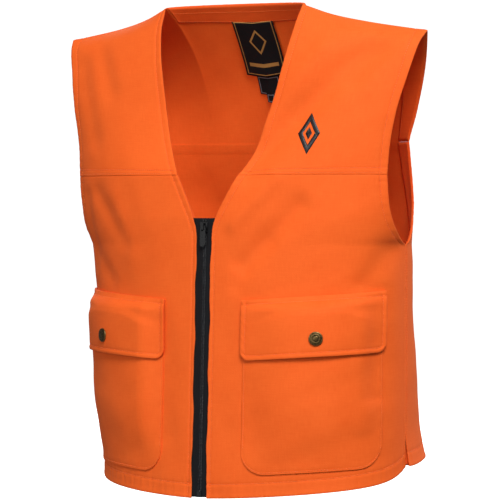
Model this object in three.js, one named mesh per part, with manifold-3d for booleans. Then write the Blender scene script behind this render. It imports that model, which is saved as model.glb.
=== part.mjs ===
// A sleeveless blaze orange field vest: two-piece back, two front halves with yokes, a separating
// front zip, two bellows pockets with snap flaps, inside facings, hems and labels.
//
// Millimetres, +Z up, the wearer faces -Y and the wearer's left is +X. Heights below are measured
// from the hem at centre front. The finished group is lowered so that the origin lies between the
// two high points of the shoulders, where the vest hangs on its wearer or on a hanger.
import * as THREE from "three";
import { mergeVertices } from "three/addons/utils/BufferGeometryUtils.js";
import Module from "manifold-3d";

const wasm = await Module();
wasm.setup();

// ---------------------------------------------------------------- driving dimensions: the shell
const NECK_POINT_Z = 630; // high point of the shoulder
const SHOULDER_DROP = 36; // from there down to the tip of the shoulder
const BACK_NECK_RISE = 5; // and up to the middle of the back neck
const SHOULDER_TIP_Z = NECK_POINT_Z - SHOULDER_DROP;
const BACK_NECK_Z = NECK_POINT_Z + BACK_NECK_RISE;
const FRONT_YOKE_Z = 411; // seam between front yoke and front panel
const BACK_YOKE_Z = 454; // seam between back yoke and back panel
const ARMHOLE_Z = 322; // bottom of the armhole, top of the side seam
const ZIP_TOP_Z = 356; // top of the zip and foot of the V neck
const SIDE_HEM_RISE = 40; // how far the hem climbs from centre front to the side seam
const BACK_HEM_RISE = 48; // the back kicks out at the hem, so its edge hangs higher

const NECK_HALF_WIDTH = 101;
const SHOULDER_HALF_WIDTH = 261;
const SIDE_HALF_WIDTH = { left: 226, right: 226 }; // side seams at the armhole
const HEM_HALF_WIDTH = { left: 226, right: 204 }; // the right front hangs closer at the hem
const VENT_FLARE = 10; // how much wider the back hangs than the fronts at the open side vents
const VENT_Z = 90; // top of the side vents
const CHEST_HALF_WIDTH = 246; // where the front section would end at yoke height
const BACK_HALF_WIDTH = 236; // the same on the back
const FRONT_DEPTH_HEM = 126; // centre front, forward of the origin
const FRONT_DEPTH_ZIP_TOP = 111;
const FRONT_DEPTH_YOKE = 105;
const BACK_DEPTH_HEM = 160;
const BACK_DEPTH_WAIST = 121;
const BACK_DEPTH_CHEST = 112;
const BACK_DEPTH_YOKE = 97;
const SIDE_SEAM_Y = 11;
const HEM_SQUARENESS = 3.2; // superellipse power of the back section at the hem, 2 is a plain ellipse
const BACK_SQUARENESS = 2.3;
const FRONT_SQUARENESS = { left: 2.3, right: 2 }; // and flatter across the pocket

const NECK_POINT_Y = -32;
const SHOULDER_TIP_Y = 1;
const BACK_NECK_Y = 7;
const FRONT_ARMHOLE_Y = -42; // the armhole's edges at yoke height
const BACK_ARMHOLE_Y = 49;
const V_HALF_WIDTH_YOKE = 44; // half the V neck's width at the front yoke seam

// ---------------------------------------------------------------- driving dimensions: cloth
const FABRIC = 1.2;
const GAP = 0.3; // between pieces that lie against each other
const FACING = 0.9;
const SEAM_GAP = 0.4;
const HEM_BAND = 20;

// ---------------------------------------------------------------- driving dimensions: zip
const ZIP_EDGE = 9; // front edge to the zip's centre line
const ZIP_EDGE_TOP = 14.5;
const TAPE_WIDTH = 15;
const TAPE_THICKNESS = 0.7;
const CHAIN_INNER = 0.7;
const CHAIN_OUTER = 2.9;
const CHAIN_THICKNESS = 2.5;
const SLIDER_LENGTH = 12.5;
const SLIDER_HALF_WIDTH = 5.2;
const SLIDER_PLATE = 1.4;
const STOP_LENGTH = 3;
const BOX_HEIGHT = 7;
const PULL_LENGTH = 26;
const PULL_WIDTH = 8;
const PULL_THICKNESS = 1.4;

// ---------------------------------------------------------------- driving dimensions: pockets
const POCKET_INNER_S = 59; // distances along the cloth from centre front
const POCKET_WIDTH = 184;
const POCKET_BOTTOM_Z = 30;
const POCKET_CORNER = 32;
const POCKET_DEPTH = 11; // how far the pouch stands off the front panel
const POCKET_SLOPE = 0.065; // the pocket climbs towards the side seam like the hem
const FLAP_SEAM_Z = 252;
const FLAP_HEIGHT = 77;
const FLAP_OVERHANG = 2.5; // flap past the pocket on each side
const FLAP_CORNER = 13;
const MOUTH_DROP = 11; // pocket mouth below the flap seam
const MOUTH_DIP = 15;
const MOUTH_DIP_WIDTH = 70;
const SNAP_DROP = 54; // snap below the flap seam
const SNAP_CAP_RADIUS = 9;
const SOCKET_BORE = 3.1;
const STUD_RADIUS = 2.6;
const STUD_HEIGHT = 2.6;

// ---------------------------------------------------------------- driving dimensions: labels
const LABEL_WIDTH = 60;
const LABEL_LENGTH = 84;
const CARE_LABEL_WIDTH = 32;
const CARE_LABEL_LENGTH = 26;
const SIZE_TAB_WIDTH = 11;
const LABEL_THICKNESS = 0.7;
const EMBLEM_WIDTH = 30;
const EMBLEM_HEIGHT = 54;
const EMBLEM_X = 132;
const EMBLEM_Z = 463;

const COLOURS = {
  orange: { color: 0xf26f2d, roughness: 0.85, metalness: 0 },
  lining: { color: 0xe2571c, roughness: 0.88, metalness: 0 },
  tape: { color: 0x17181a, roughness: 0.9, metalness: 0 },
  chain: { color: 0x101113, roughness: 0.4, metalness: 0 },
  slider: { color: 0x141416, roughness: 0.35, metalness: 0.6 },
  brass: { color: 0x8a7a4c, roughness: 0.35, metalness: 1 },
  label: { color: 0x0c0d0f, roughness: 0.8, metalness: 0 },
};

// ================================================================ small helpers
const lerp = (a, b, t) => a + (b - a) * t;
const clamp01 = (t) => Math.min(1, Math.max(0, t));
const smooth = (t) => clamp01(t) ** 2 * (3 - 2 * clamp01(t));
const easeOut = (t) => 1 - (1 - clamp01(t)) ** 2;
const spread = (from, to, count) => Array.from({ length: count + 1 }, (_, i) => lerp(from, to, i / count));
const vec = (x, y, z) => new THREE.Vector3(x, y, z);
const mix = (p, q, t) => p.clone().lerp(q, t);

// A smooth curve through points, read at a share from 0 to 1 of its parameter.
function through(points) {
  const curve = new THREE.CatmullRomCurve3(points, false, "centripetal");
  return (t) => curve.getPoint(clamp01(t));
}

// Straight interpolation of a value over a list of [height, value].
function profile(keys) {
  return (z) => {
    const next = keys.findIndex(([at]) => at >= z);
    if (next === 0) return keys[0][1];
    if (next < 0) return keys[keys.length - 1][1];
    const [z0, v0] = keys[next - 1];
    const [z1, v1] = keys[next];
    return lerp(v0, v1, (z - z0) / (z1 - z0));
  };
}

// ================================================================ the shell's horizontal sections
const aboveArmhole = (z, top) => clamp01((z - ARMHOLE_Z) / (top - ARMHOLE_Z));
const seamHalfWidth = (side, z) =>
  lerp(HEM_HALF_WIDTH[side], SIDE_HALF_WIDTH[side], clamp01(z / ARMHOLE_Z) ** 2.4);
const frontHalfWidth = (side, z) =>
  lerp(seamHalfWidth(side, z), CHEST_HALF_WIDTH, easeOut(aboveArmhole(z, FRONT_YOKE_Z)));
const backHalfWidth = (side, z) =>
  lerp(seamHalfWidth(side, z), BACK_HALF_WIDTH, easeOut(aboveArmhole(z, BACK_YOKE_Z)))
  + VENT_FLARE * smooth(1 - z / VENT_Z);
const seamY = (z) => lerp(SIDE_SEAM_Y, 0, aboveArmhole(z, FRONT_YOKE_Z));
const frontDepth = profile([
  [0, FRONT_DEPTH_HEM],
  [ZIP_TOP_Z, FRONT_DEPTH_ZIP_TOP],
  [FRONT_YOKE_Z, FRONT_DEPTH_YOKE],
]);
const backDepth = profile([
  [0, BACK_DEPTH_HEM],
  [0.84 * ARMHOLE_Z, BACK_DEPTH_WAIST],
  [lerp(ARMHOLE_Z, BACK_YOKE_Z, 0.42), BACK_DEPTH_CHEST],
  [BACK_YOKE_Z, BACK_DEPTH_YOKE],
]);
const squareness = profile([
  [0, HEM_SQUARENESS],
  [0.7 * ARMHOLE_Z, BACK_SQUARENESS],
]);
const frontSquareness = (side, z) => lerp(FRONT_SQUARENESS[side], 2, aboveArmhole(z, FRONT_YOKE_Z));

const SECTION_STEPS = 90;

// One quarter of a horizontal section as a dense line from the centre to the side, with its length.
function section(side, z, back) {
  const half = back ? backHalfWidth(side, z) : frontHalfWidth(side, z);
  const y0 = seamY(z);
  const depth = back ? backDepth(z) - y0 : frontDepth(z) + y0;
  const power = 2 / (back ? squareness(z) : frontSquareness(side, z));
  const mirror = side === "left" ? 1 : -1;
  const points = [];
  const along = [0];
  for (let i = 0; i <= SECTION_STEPS; i += 1) {
    const angle = (Math.PI / 2) * (i / SECTION_STEPS);
    const x = half * Math.sin(angle) ** power;
    const y = depth * Math.max(0, Math.cos(angle)) ** power;
    points.push(vec(mirror * x, back ? y0 + y : y0 - y, z));
    if (i) along.push(along[i - 1] + points[i].distanceTo(points[i - 1]));
  }
  const total = along[SECTION_STEPS];
  const at = (s) => {
    let i = 1;
    while (i < SECTION_STEPS && along[i] < s) i += 1;
    const t = (s - along[i - 1]) / (along[i] - along[i - 1]);
    return mix(points[i - 1], points[i], t);
  };
  // Length from the centre to where the line reaches a given y.
  const lengthTo = (y) => {
    const i = points.findIndex((p) => (back ? p.y <= y : p.y >= y));
    if (i < 1) return total;
    const t = (y - points[i - 1].y) / (points[i].y - points[i - 1].y);
    return lerp(along[i - 1], along[i], t);
  };
  return { at, total, lengthTo };
}

const cache = new Map();
function cachedSection(side, z, back) {
  const key = `${side}${back}${z.toFixed(3)}`;
  if (!cache.has(key)) cache.set(key, section(side, z, back));
  return cache.get(key);
}
const front = (side, s, z) => cachedSection(side, z, false).at(s);
const back = (side, s, z) => cachedSection(side, z, true).at(s);

// ---------------------------------------------------------------- edges of the front and back
// The armhole's edge in y, as shares of the climb from the side seam to the yoke.
const armholeShare = (z, top) => (1 - (1 - aboveArmhole(z, top)) ** 3.2) ** 0.72;
const frontArmholeY = (z) => lerp(SIDE_SEAM_Y, FRONT_ARMHOLE_Y, armholeShare(z, FRONT_YOKE_Z));
const backArmholeY = (z) => lerp(SIDE_SEAM_Y, BACK_ARMHOLE_Y, armholeShare(z, BACK_YOKE_Z));
const frontEdgeS = (side, z) =>
  z <= ARMHOLE_Z
    ? cachedSection(side, z, false).total - SEAM_GAP
    : cachedSection(side, z, false).lengthTo(Math.min(frontArmholeY(z), seamY(z) - SEAM_GAP));
const backEdgeS = (side, z) =>
  z <= ARMHOLE_Z
    ? cachedSection(side, z, true).total
    : cachedSection(side, z, true).lengthTo(Math.max(backArmholeY(z), seamY(z)));

// The front edge: straight beside the zip, then out along the V neck to the yoke seam.
const V_START_Z = lerp(0, ZIP_TOP_Z, 0.93);
const openingS = profile([
  [V_START_Z, ZIP_EDGE],
  [lerp(V_START_Z, ZIP_TOP_Z, 0.6), lerp(ZIP_EDGE, ZIP_EDGE_TOP, 0.35)],
  [ZIP_TOP_Z, ZIP_EDGE_TOP],
  [lerp(ZIP_TOP_Z, FRONT_YOKE_Z, 0.5), lerp(ZIP_EDGE_TOP, V_HALF_WIDTH_YOKE, 0.5)],
  [FRONT_YOKE_Z, V_HALF_WIDTH_YOKE],
]);
// The front hem climbs gently, then turns up at the side seam.
const frontHemZ = (s, edge) => SIDE_HEM_RISE * (0.6 * (s / edge) ** 1.5 + 0.4 * (s / edge) ** 10);
const backHemZ = (share) => lerp(BACK_HEM_RISE, SIDE_HEM_RISE, smooth((Math.abs(share) - 0.75) * 4));

// ================================================================ sheets of cloth
// A grid of points with outward normals, as columns by rows.
function grid(columns, rows, pointAt, fixedNormal) {
  const points = columns.map((c, i) => rows.map((r, j) => pointAt(c, r, i, j)));
  const last = [columns.length - 1, rows.length - 1];
  const normals = points.map((column, i) =>
    column.map((p, j) => {
      const given = fixedNormal && fixedNormal(i, j);
      if (given) return given;
      const du = points[Math.min(i + 1, last[0])][j].clone().sub(points[Math.max(i - 1, 0)][j]);
      const dv = points[i][Math.min(j + 1, last[1])].clone().sub(points[i][Math.max(j - 1, 0)]);
      const n = du.cross(dv).normalize();
      const outward = vec(p.x, p.y, Math.max(0, p.z - 0.76 * NECK_POINT_Z));
      return n.dot(outward) < 0 ? n.negate() : n;
    }),
  );
  return { points, normals, columns: columns.length, rows: rows.length };
}

// The part of a grid from column i0 to i1 and row j0 to j1.
function piece(g, i0, i1, j0, j1) {
  const cut = (table) => table.slice(i0, i1 + 1).map((column) => column.slice(j0, j1 + 1));
  return { points: cut(g.points), normals: cut(g.normals), columns: i1 - i0 + 1, rows: j1 - j0 + 1 };
}

function signedVolume(position, index) {
  const corner = (k) => new THREE.Vector3().fromBufferAttribute(position, index[k]);
  let volume = 0;
  for (let k = 0; k < index.length; k += 3) {
    volume += corner(k).dot(corner(k + 1).cross(corner(k + 2))) / 6;
  }
  return volume;
}

// A closed slab over a grid between two offsets along its normals, each a number or a function.
function slab(g, outer, inner) {
  const offset = (value, i, j) => (typeof value === "function" ? value(i, j) : value);
  const positions = [];
  for (const value of [outer, inner]) {
    for (let i = 0; i < g.columns; i += 1) {
      for (let j = 0; j < g.rows; j += 1) {
        const p = g.points[i][j].clone().addScaledVector(g.normals[i][j], offset(value, i, j));
        positions.push(p.x, p.y, p.z);
      }
    }
  }
  const layer = g.columns * g.rows;
  const id = (i, j, k) => k * layer + i * g.rows + j;
  const index = [];
  const quad = (a, b, c, d) => index.push(a, b, c, a, c, d);
  for (let i = 0; i + 1 < g.columns; i += 1) {
    for (let j = 0; j + 1 < g.rows; j += 1) {
      quad(id(i, j, 0), id(i + 1, j, 0), id(i + 1, j + 1, 0), id(i, j + 1, 0));
      quad(id(i, j, 1), id(i, j + 1, 1), id(i + 1, j + 1, 1), id(i + 1, j, 1));
    }
  }
  const [iMax, jMax] = [g.columns - 1, g.rows - 1];
  for (let i = 0; i < iMax; i += 1) {
    quad(id(i, 0, 0), id(i, 0, 1), id(i + 1, 0, 1), id(i + 1, 0, 0));
    quad(id(i, jMax, 0), id(i + 1, jMax, 0), id(i + 1, jMax, 1), id(i, jMax, 1));
  }
  for (let j = 0; j < jMax; j += 1) {
    quad(id(0, j, 0), id(0, j + 1, 0), id(0, j + 1, 1), id(0, j, 1));
    quad(id(iMax, j, 0), id(iMax, j, 1), id(iMax, j + 1, 1), id(iMax, j + 1, 0));
  }
  const geometry = new THREE.BufferGeometry();
  geometry.setAttribute("position", new THREE.Float32BufferAttribute(positions, 3));
  if (signedVolume(geometry.getAttribute("position"), index) < 0) index.reverse();
  geometry.setIndex(index);
  return geometry;
}

// ================================================================ booleans on hard pieces
function solid(geometry) {
  const bare = geometry.clone();
  bare.deleteAttribute("normal");
  bare.deleteAttribute("uv");
  const merged = mergeVertices(bare.index ? bare.toNonIndexed() : bare, 1e-4);
  return new wasm.Manifold(
    new wasm.Mesh({
      numProp: 3,
      vertProperties: merged.getAttribute("position").array,
      triVerts: new Uint32Array(merged.index.array),
    }),
  );
}

function geometryOf(manifold) {
  const mesh = manifold.getMesh();
  const geometry = new THREE.BufferGeometry();
  geometry.setAttribute("position", new THREE.BufferAttribute(mesh.vertProperties, 3));
  geometry.setIndex(new THREE.BufferAttribute(mesh.triVerts, 1));
  return geometry;
}

// A box between two x, two depths in front of the zip's plane and two heights.
function block([x0, x1], [n0, n1], [z0, z1]) {
  const box = new THREE.BoxGeometry(x1 - x0, n1 - n0, z1 - z0);
  return box.translate((x0 + x1) / 2, -(n0 + n1) / 2, (z0 + z1) / 2);
}

// ================================================================ assembly
const root = new THREE.Group();
const vest = new THREE.Group();
vest.position.z = -NECK_POINT_Z;
root.add(vest);

function add(name, geometry, finish, parent = vest) {
  const mesh = new THREE.Mesh(geometry, new THREE.MeshStandardMaterial(COLOURS[finish]));
  mesh.name = name;
  parent.add(mesh);
  return mesh;
}

const SIDES = ["left", "right"];
const mirrorOf = (side) => (side === "left" ? 1 : -1);
const inside = FABRIC + GAP; // depth at which a layer behind the shell starts

// ---------------------------------------------------------------- front panels
const POCKET_OUTER_S = POCKET_INNER_S + POCKET_WIDTH;
// Columns under the pocket are shared with it, so that the two keep their gap on the curve.
const POCKET_COLUMNS = [0, 0.04, 0.1, 0.2, 0.3, 0.41, 0.52, 0.63, 0.73, 0.83, 0.91, 0.96, 1].map((t) =>
  lerp(POCKET_INNER_S, POCKET_OUTER_S, t),
);
const CENTRE_COLUMNS = [0, 0.5, 1]; // shares from the front edge to the pocket
const SIDE_COLUMNS = [0.35, 0.7, 1]; // shares from the pocket to the side seam
const FRONT_ROWS = [...spread(0, 1, 6), ...spread(1, 2, 3).slice(1), ...spread(2, 3, 6).slice(1)];

// Rows 0 to 1 run from the hem to the flap seam, 1 to 2 up to the armhole, 2 to 3 to the yoke seam.
function frontRowZ(row, hem) {
  const top = FRONT_YOKE_Z - SEAM_GAP;
  if (row <= 1) return lerp(hem, FLAP_SEAM_Z, row);
  if (row <= 2) return lerp(FLAP_SEAM_Z, ARMHOLE_Z, row - 1);
  return lerp(ARMHOLE_Z, top, row - 2);
}

function frontColumns(side, z) {
  const inner = openingS(z);
  const edge = frontEdgeS(side, z);
  const fixed = [
    ...CENTRE_COLUMNS.map((t) => lerp(inner, POCKET_INNER_S, t)),
    ...POCKET_COLUMNS.slice(1),
    ...SIDE_COLUMNS.map((t) => lerp(POCKET_OUTER_S, edge, t)),
  ];
  const low = openingS(0);
  const lowEdge = frontEdgeS(side, 0);
  const free = [
    ...CENTRE_COLUMNS.map((t) => lerp(low, POCKET_INNER_S, t)),
    ...POCKET_COLUMNS.slice(1),
    ...SIDE_COLUMNS.map((t) => lerp(POCKET_OUTER_S, lowEdge, t)),
  ].map((s) => lerp(inner, edge, (s - low) / (lowEdge - low)));
  const change = smooth((z - lerp(FLAP_SEAM_Z, ARMHOLE_Z, 0.4)) / (0.6 * (ARMHOLE_Z - FLAP_SEAM_Z)));
  return fixed.map((s, i) => lerp(s, free[i], change));
}

function frontGrid(side) {
  const columns = frontColumns(side, 0).map((_, i) => i);
  const hemEdge = frontEdgeS(side, 0);
  return grid(columns, FRONT_ROWS, (i, row) => {
    const z = frontRowZ(row, frontHemZ(frontColumns(side, 0)[i], hemEdge));
    return front(side, frontColumns(side, z)[i], z);
  });
}

// ---------------------------------------------------------------- yokes and shoulders
const shoulderSeam = through([
  vec(NECK_HALF_WIDTH, NECK_POINT_Y, NECK_POINT_Z),
  vec(lerp(NECK_HALF_WIDTH, SHOULDER_HALF_WIDTH, 0.22), lerp(NECK_POINT_Y, SHOULDER_TIP_Y, 0.37),
    lerp(NECK_POINT_Z, SHOULDER_TIP_Z, 0.36)),
  vec(lerp(NECK_HALF_WIDTH, SHOULDER_HALF_WIDTH, 0.5), lerp(NECK_POINT_Y, SHOULDER_TIP_Y, 0.76),
    lerp(NECK_POINT_Z, SHOULDER_TIP_Z, 0.64)),
  vec(SHOULDER_HALF_WIDTH, SHOULDER_TIP_Y, SHOULDER_TIP_Z),
]);

// Points between two ends, given as shares of the way in x, y and z.
function shaped(from, to, shares) {
  return through([
    from,
    ...shares.map(([x, y, z]) => vec(lerp(from.x, to.x, x), lerp(from.y, to.y, y), lerp(from.z, to.z, z))),
    to,
  ]);
}

const YOKE_COLUMNS = 9;
const YOKE_ROWS = 8;
const seamNormal = vec(0.2, 0, 1).normalize();

function frontYokeGrid(side) {
  const m = mirrorOf(side);
  const from = openingS(FRONT_YOKE_Z);
  const to = frontEdgeS(side, FRONT_YOKE_Z);
  const low = (u) => {
    const p = front(side, lerp(from, to, u), FRONT_YOKE_Z);
    return vec(m * p.x, p.y, FRONT_YOKE_Z + SEAM_GAP);
  };
  const neckEdge = shaped(low(0), shoulderSeam(0), [
    [0.3, 0.24, 0.15], [0.58, 0.43, 0.38], [0.8, 0.56, 0.66], [0.95, 0.77, 0.88],
  ]);
  const armholeEdge = shaped(low(1), shoulderSeam(1), [
    [0.1, 0.06, 0.25], [0.3, 0.14, 0.46], [0.54, 0.32, 0.65], [0.87, 0.7, 0.92],
  ]);
  const at = (u, v) => {
    const chord = mix(neckEdge(v), armholeEdge(v), u);
    const lowBow = low(u).sub(mix(low(0), low(1), u));
    const highBow = shoulderSeam(u).sub(mix(shoulderSeam(0), shoulderSeam(1), u));
    const p = chord.addScaledVector(lowBow, 1 - 0.75 * v ** 2).addScaledVector(highBow, v ** 3);
    return vec(m * p.x, p.y, p.z);
  };
  const topNormal = (i, j) => (j === YOKE_ROWS ? vec(m * seamNormal.x, 0, seamNormal.z) : null);
  return grid(spread(0, 1, YOKE_COLUMNS), spread(0, 0.996, YOKE_ROWS), at, topNormal);
}

const NECK_SHARE = 0.42; // share of the back yoke's half width under the neck
const neckCurve = (t) =>
  vec(
    NECK_HALF_WIDTH * Math.sin((Math.PI / 2) * t),
    lerp(NECK_POINT_Y, BACK_NECK_Y, Math.cos((Math.PI / 2) * t)),
    lerp(BACK_NECK_Z, NECK_POINT_Z, t * t),
  );

const BACK_YOKE_COLUMNS = [
  ...spread(-1, -NECK_SHARE, 5),
  ...spread(-NECK_SHARE, NECK_SHARE, 8).slice(1),
  ...spread(NECK_SHARE, 1, 5).slice(1),
];

function backYokePoint(u, v) {
  const side = u < 0 ? "right" : "left";
  const share = Math.abs(u);
  const edge = backEdgeS(side, BACK_YOKE_Z);
  const foot = back(side, share * edge, BACK_YOKE_Z);
  const low = vec(Math.abs(foot.x), foot.y, BACK_YOKE_Z + SEAM_GAP);
  const top = share < NECK_SHARE ? neckCurve(share / NECK_SHARE)
    : shoulderSeam((share - NECK_SHARE) / (1 - NECK_SHARE));
  const roll = Math.sin(Math.PI * share);
  const middle = vec(
    lerp(low.x, top.x, lerp(0.5, 0.42, share)),
    lerp(lerp(BACK_NECK_Y, BACK_DEPTH_YOKE, 0.72), 1.27 * BACK_ARMHOLE_Y, share) + 10 * roll,
    lerp(BACK_YOKE_Z, lerp(BACK_NECK_Z, SHOULDER_TIP_Z, share), lerp(0.53, 0.66, share)) + 22 * roll,
  );
  const p = mix(mix(low, middle, v), mix(middle, top, v), v);
  return vec(mirrorOf(side) * p.x, p.y, p.z);
}

function backYokeGrid() {
  const ends = BACK_YOKE_COLUMNS.map((u) => Math.abs(u) >= NECK_SHARE - 1e-9);
  const topNormal = (i, j) =>
    j === YOKE_ROWS && ends[i]
      ? vec(Math.sign(BACK_YOKE_COLUMNS[i]) * seamNormal.x, 0, seamNormal.z)
      : null;
  return grid(BACK_YOKE_COLUMNS, spread(0, 1, YOKE_ROWS), backYokePoint, topNormal);
}

// ---------------------------------------------------------------- back panel
const BACK_COLUMNS = [...spread(-1, -0.86, 2), ...spread(-0.86, 0.86, 14).slice(1),
  ...spread(0.86, 1, 2).slice(1)];
const BACK_ROWS = [...spread(0, 1, 6), ...spread(1, 2, 5).slice(1)];

function backGrid() {
  return grid(BACK_COLUMNS, BACK_ROWS, (u, row) => {
    const side = u < 0 ? "right" : "left";
    const z = row <= 1 ? lerp(backHemZ(u), ARMHOLE_Z, row)
      : lerp(ARMHOLE_Z, BACK_YOKE_Z - SEAM_GAP, row - 1);
    return back(side, Math.abs(u) * backEdgeS(side, z), z);
  });
}

// ================================================================ shell, facings and hems
const backSheet = backGrid();
const backYoke = backYokeGrid();
const lastBack = backSheet.columns - 1;
const lastYokeU = backYoke.columns - 1;
const armholeRow = 6; // the row of the back grid at the foot of the armhole

add("back_panel", slab(backSheet, 0, -FABRIC), "orange");
add("back_yoke", slab(backYoke, 0, -FABRIC), "orange");
add("back_hem_band", slab(piece(backSheet, 0, lastBack, 0, 1), -inside, -inside - FACING), "lining");
add("neck_facing", slab(piece(backYoke, 5, lastYokeU - 5, YOKE_ROWS - 1, YOKE_ROWS),
  -inside, -inside - FACING), "lining");

const facings = [
  ["left", lastBack - 1, lastBack, lastYokeU - 1, lastYokeU],
  ["right", 0, 1, 0, 1],
];
for (const [side, b0, b1, y0, y1] of facings) {
  add(`armhole_facing_back_${side}`,
    slab(piece(backSheet, b0, b1, armholeRow, backSheet.rows - 1), -inside, -inside - FACING), "lining");
  add(`armhole_facing_shoulder_${side}`,
    slab(piece(backYoke, y0, y1, 0, YOKE_ROWS - 1), -inside, -inside - FACING), "lining");
}

for (const side of SIDES) {
  const yoke = frontYokeGrid(side);
  add(`front_yoke_${side}`, slab(yoke, 0, -FABRIC), "orange");
  add(`v_neck_facing_${side}`,
    slab(piece(yoke, 0, 1, 0, YOKE_ROWS - 1), -inside, -inside - FACING), "lining");
  add(`armhole_facing_yoke_${side}`,
    slab(piece(yoke, YOKE_COLUMNS - 1, YOKE_COLUMNS, 0, YOKE_ROWS - 1), -inside, -inside - FACING),
    "lining");
}

// ================================================================ front halves
// Layers behind the front edge, from the shell inwards: zip tape, then the facing.
const edgeSag = 0.7; // how far the shell's curve falls away from flat over the tape's width
const tapeFront = -(inside + edgeSag);
const tapeBack = tapeFront - TAPE_THICKNESS;
const facingFront = tapeBack - GAP;
const FACING_WIDTH = 26;

function frontFacingGrid(side) {
  const rows = [...spread(1.5, V_START_Z, 3), ...spread(V_START_Z, FRONT_YOKE_Z - SEAM_GAP, 6).slice(1)];
  return grid(spread(0.8, FACING_WIDTH, 2), rows, (s, z) => front(side, openingS(z) + s, z));
}

function frontHalf(side) {
  const sheet = frontGrid(side);
  const last = sheet.columns - 1;
  const armRow = 9; // the row at the foot of the armhole
  add(`front_panel_${side}`, slab(sheet, 0, -FABRIC), "orange");
  add(`front_facing_${side}`, slab(frontFacingGrid(side), facingFront, facingFront - FACING), "lining");
  add(`front_hem_band_${side}`,
    slab(hemBandGrid(side), -inside, -inside - FACING), "lining");
  add(`armhole_facing_front_${side}`,
    slab(piece(sheet, last - 1, last, armRow, sheet.rows - 1), -inside, -inside - FACING), "lining");
}

// The turned-up hem starts beside the front facing and shares the panel's columns.
function hemBandGrid(side) {
  const first = CENTRE_COLUMNS.length - 1;
  const count = frontColumns(side, 0).length;
  const columns = Array.from({ length: count - first }, (_, k) => k + first);
  return grid(columns, [0, 1], (i, row) => {
    const s = frontColumns(side, 0)[i];
    const hem = frontHemZ(s, frontEdgeS(side, 0));
    const z = hem + (row === 0 ? 0.5 : HEM_BAND);
    return front(side, frontColumns(side, z)[i], z);
  });
}

for (const side of SIDES) frontHalf(side);

// ================================================================ zip
// The zip lies in a flat plane through centre front; its group leans with the front edge.
const zip = new THREE.Group();
zip.position.set(0, -FRONT_DEPTH_HEM, 0);
zip.rotation.x = -Math.atan2(FRONT_DEPTH_HEM - FRONT_DEPTH_ZIP_TOP, ZIP_TOP_Z);
vest.add(zip);

const CHAIN_FOOT = BOX_HEIGHT + 2;
const PIN_LENGTH = 9;
const chainTop = ZIP_TOP_Z - 1 - STOP_LENGTH - GAP;
const chainMiddle = (tapeFront + tapeBack) / 2;
const chainFront = chainMiddle + CHAIN_THICKNESS / 2;
const chainBack = chainMiddle - CHAIN_THICKNESS / 2;
const across = (side, x0, x1) => (side === "left" ? [x0, x1] : [-x1, -x0]);

for (const side of SIDES) {
  const foot = side === "left" ? CHAIN_FOOT + GAP : CHAIN_FOOT + PIN_LENGTH;
  const tape = across(side, CHAIN_OUTER + GAP, CHAIN_OUTER + GAP + TAPE_WIDTH);
  add(`zip_tape_${side}`, block(tape, [tapeBack, tapeFront], [1.5, ZIP_TOP_Z]), "tape", zip);
  add(`zip_chain_${side}`,
    block(across(side, CHAIN_INNER, CHAIN_OUTER), [chainBack, chainFront], [foot, chainTop]), "chain", zip);
  add(`zip_top_stop_${side}`,
    block(across(side, CHAIN_INNER, CHAIN_OUTER), [chainBack - 0.1, chainFront + 0.1],
      [chainTop + GAP, chainTop + GAP + STOP_LENGTH]), "slider", zip);
}

// The retainer box on the left tape's foot, slotted for the insertion pin of the right tape.
const PIN_INNER = 0.9;
const PIN_OUTER = 2.4;
const pinDepths = [chainBack + 0.3, chainFront - 0.3];
const boxDepths = [chainBack - 0.8, chainFront + 0.8];
const boxSolid = solid(block([-CHAIN_OUTER - 0.2, CHAIN_OUTER], boxDepths, [1.5, CHAIN_FOOT]));
const pinSlot = solid(block([-PIN_OUTER - GAP, -PIN_INNER + GAP],
  [pinDepths[0] - GAP, pinDepths[1] + GAP], [3.5, CHAIN_FOOT + 1]));
add("zip_retainer_box", geometryOf(boxSolid.subtract(pinSlot)), "slider", zip);
add("zip_insertion_pin", block([-PIN_OUTER, -PIN_INNER], pinDepths, [4, CHAIN_FOOT + PIN_LENGTH - GAP]),
  "slider", zip);

// ---------------------------------------------------------------- slider and pull
const SLIDER_TOP = chainTop - 0.6;
const SLIDER_FOOT = SLIDER_TOP - SLIDER_LENGTH;
const RUN = 0.4; // running clearance between the slider and the chain
const plateFront = chainFront + RUN;
const plateBack = chainBack - RUN;
const tapeSlot = [tapeBack - 0.5, tapeFront + 0.5];
const FLANGE = 0.8;
const BAIL_HALF_WIDTH = 1.5;
const BAIL_REACH = 4.2;
const BAIL_BAR = 1.1;
const BAIL_HEIGHT = 4.1;
const pivotDepth = plateFront + SLIDER_PLATE + 2;
const pivotZ = SLIDER_FOOT + SLIDER_LENGTH * 0.55;

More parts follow.
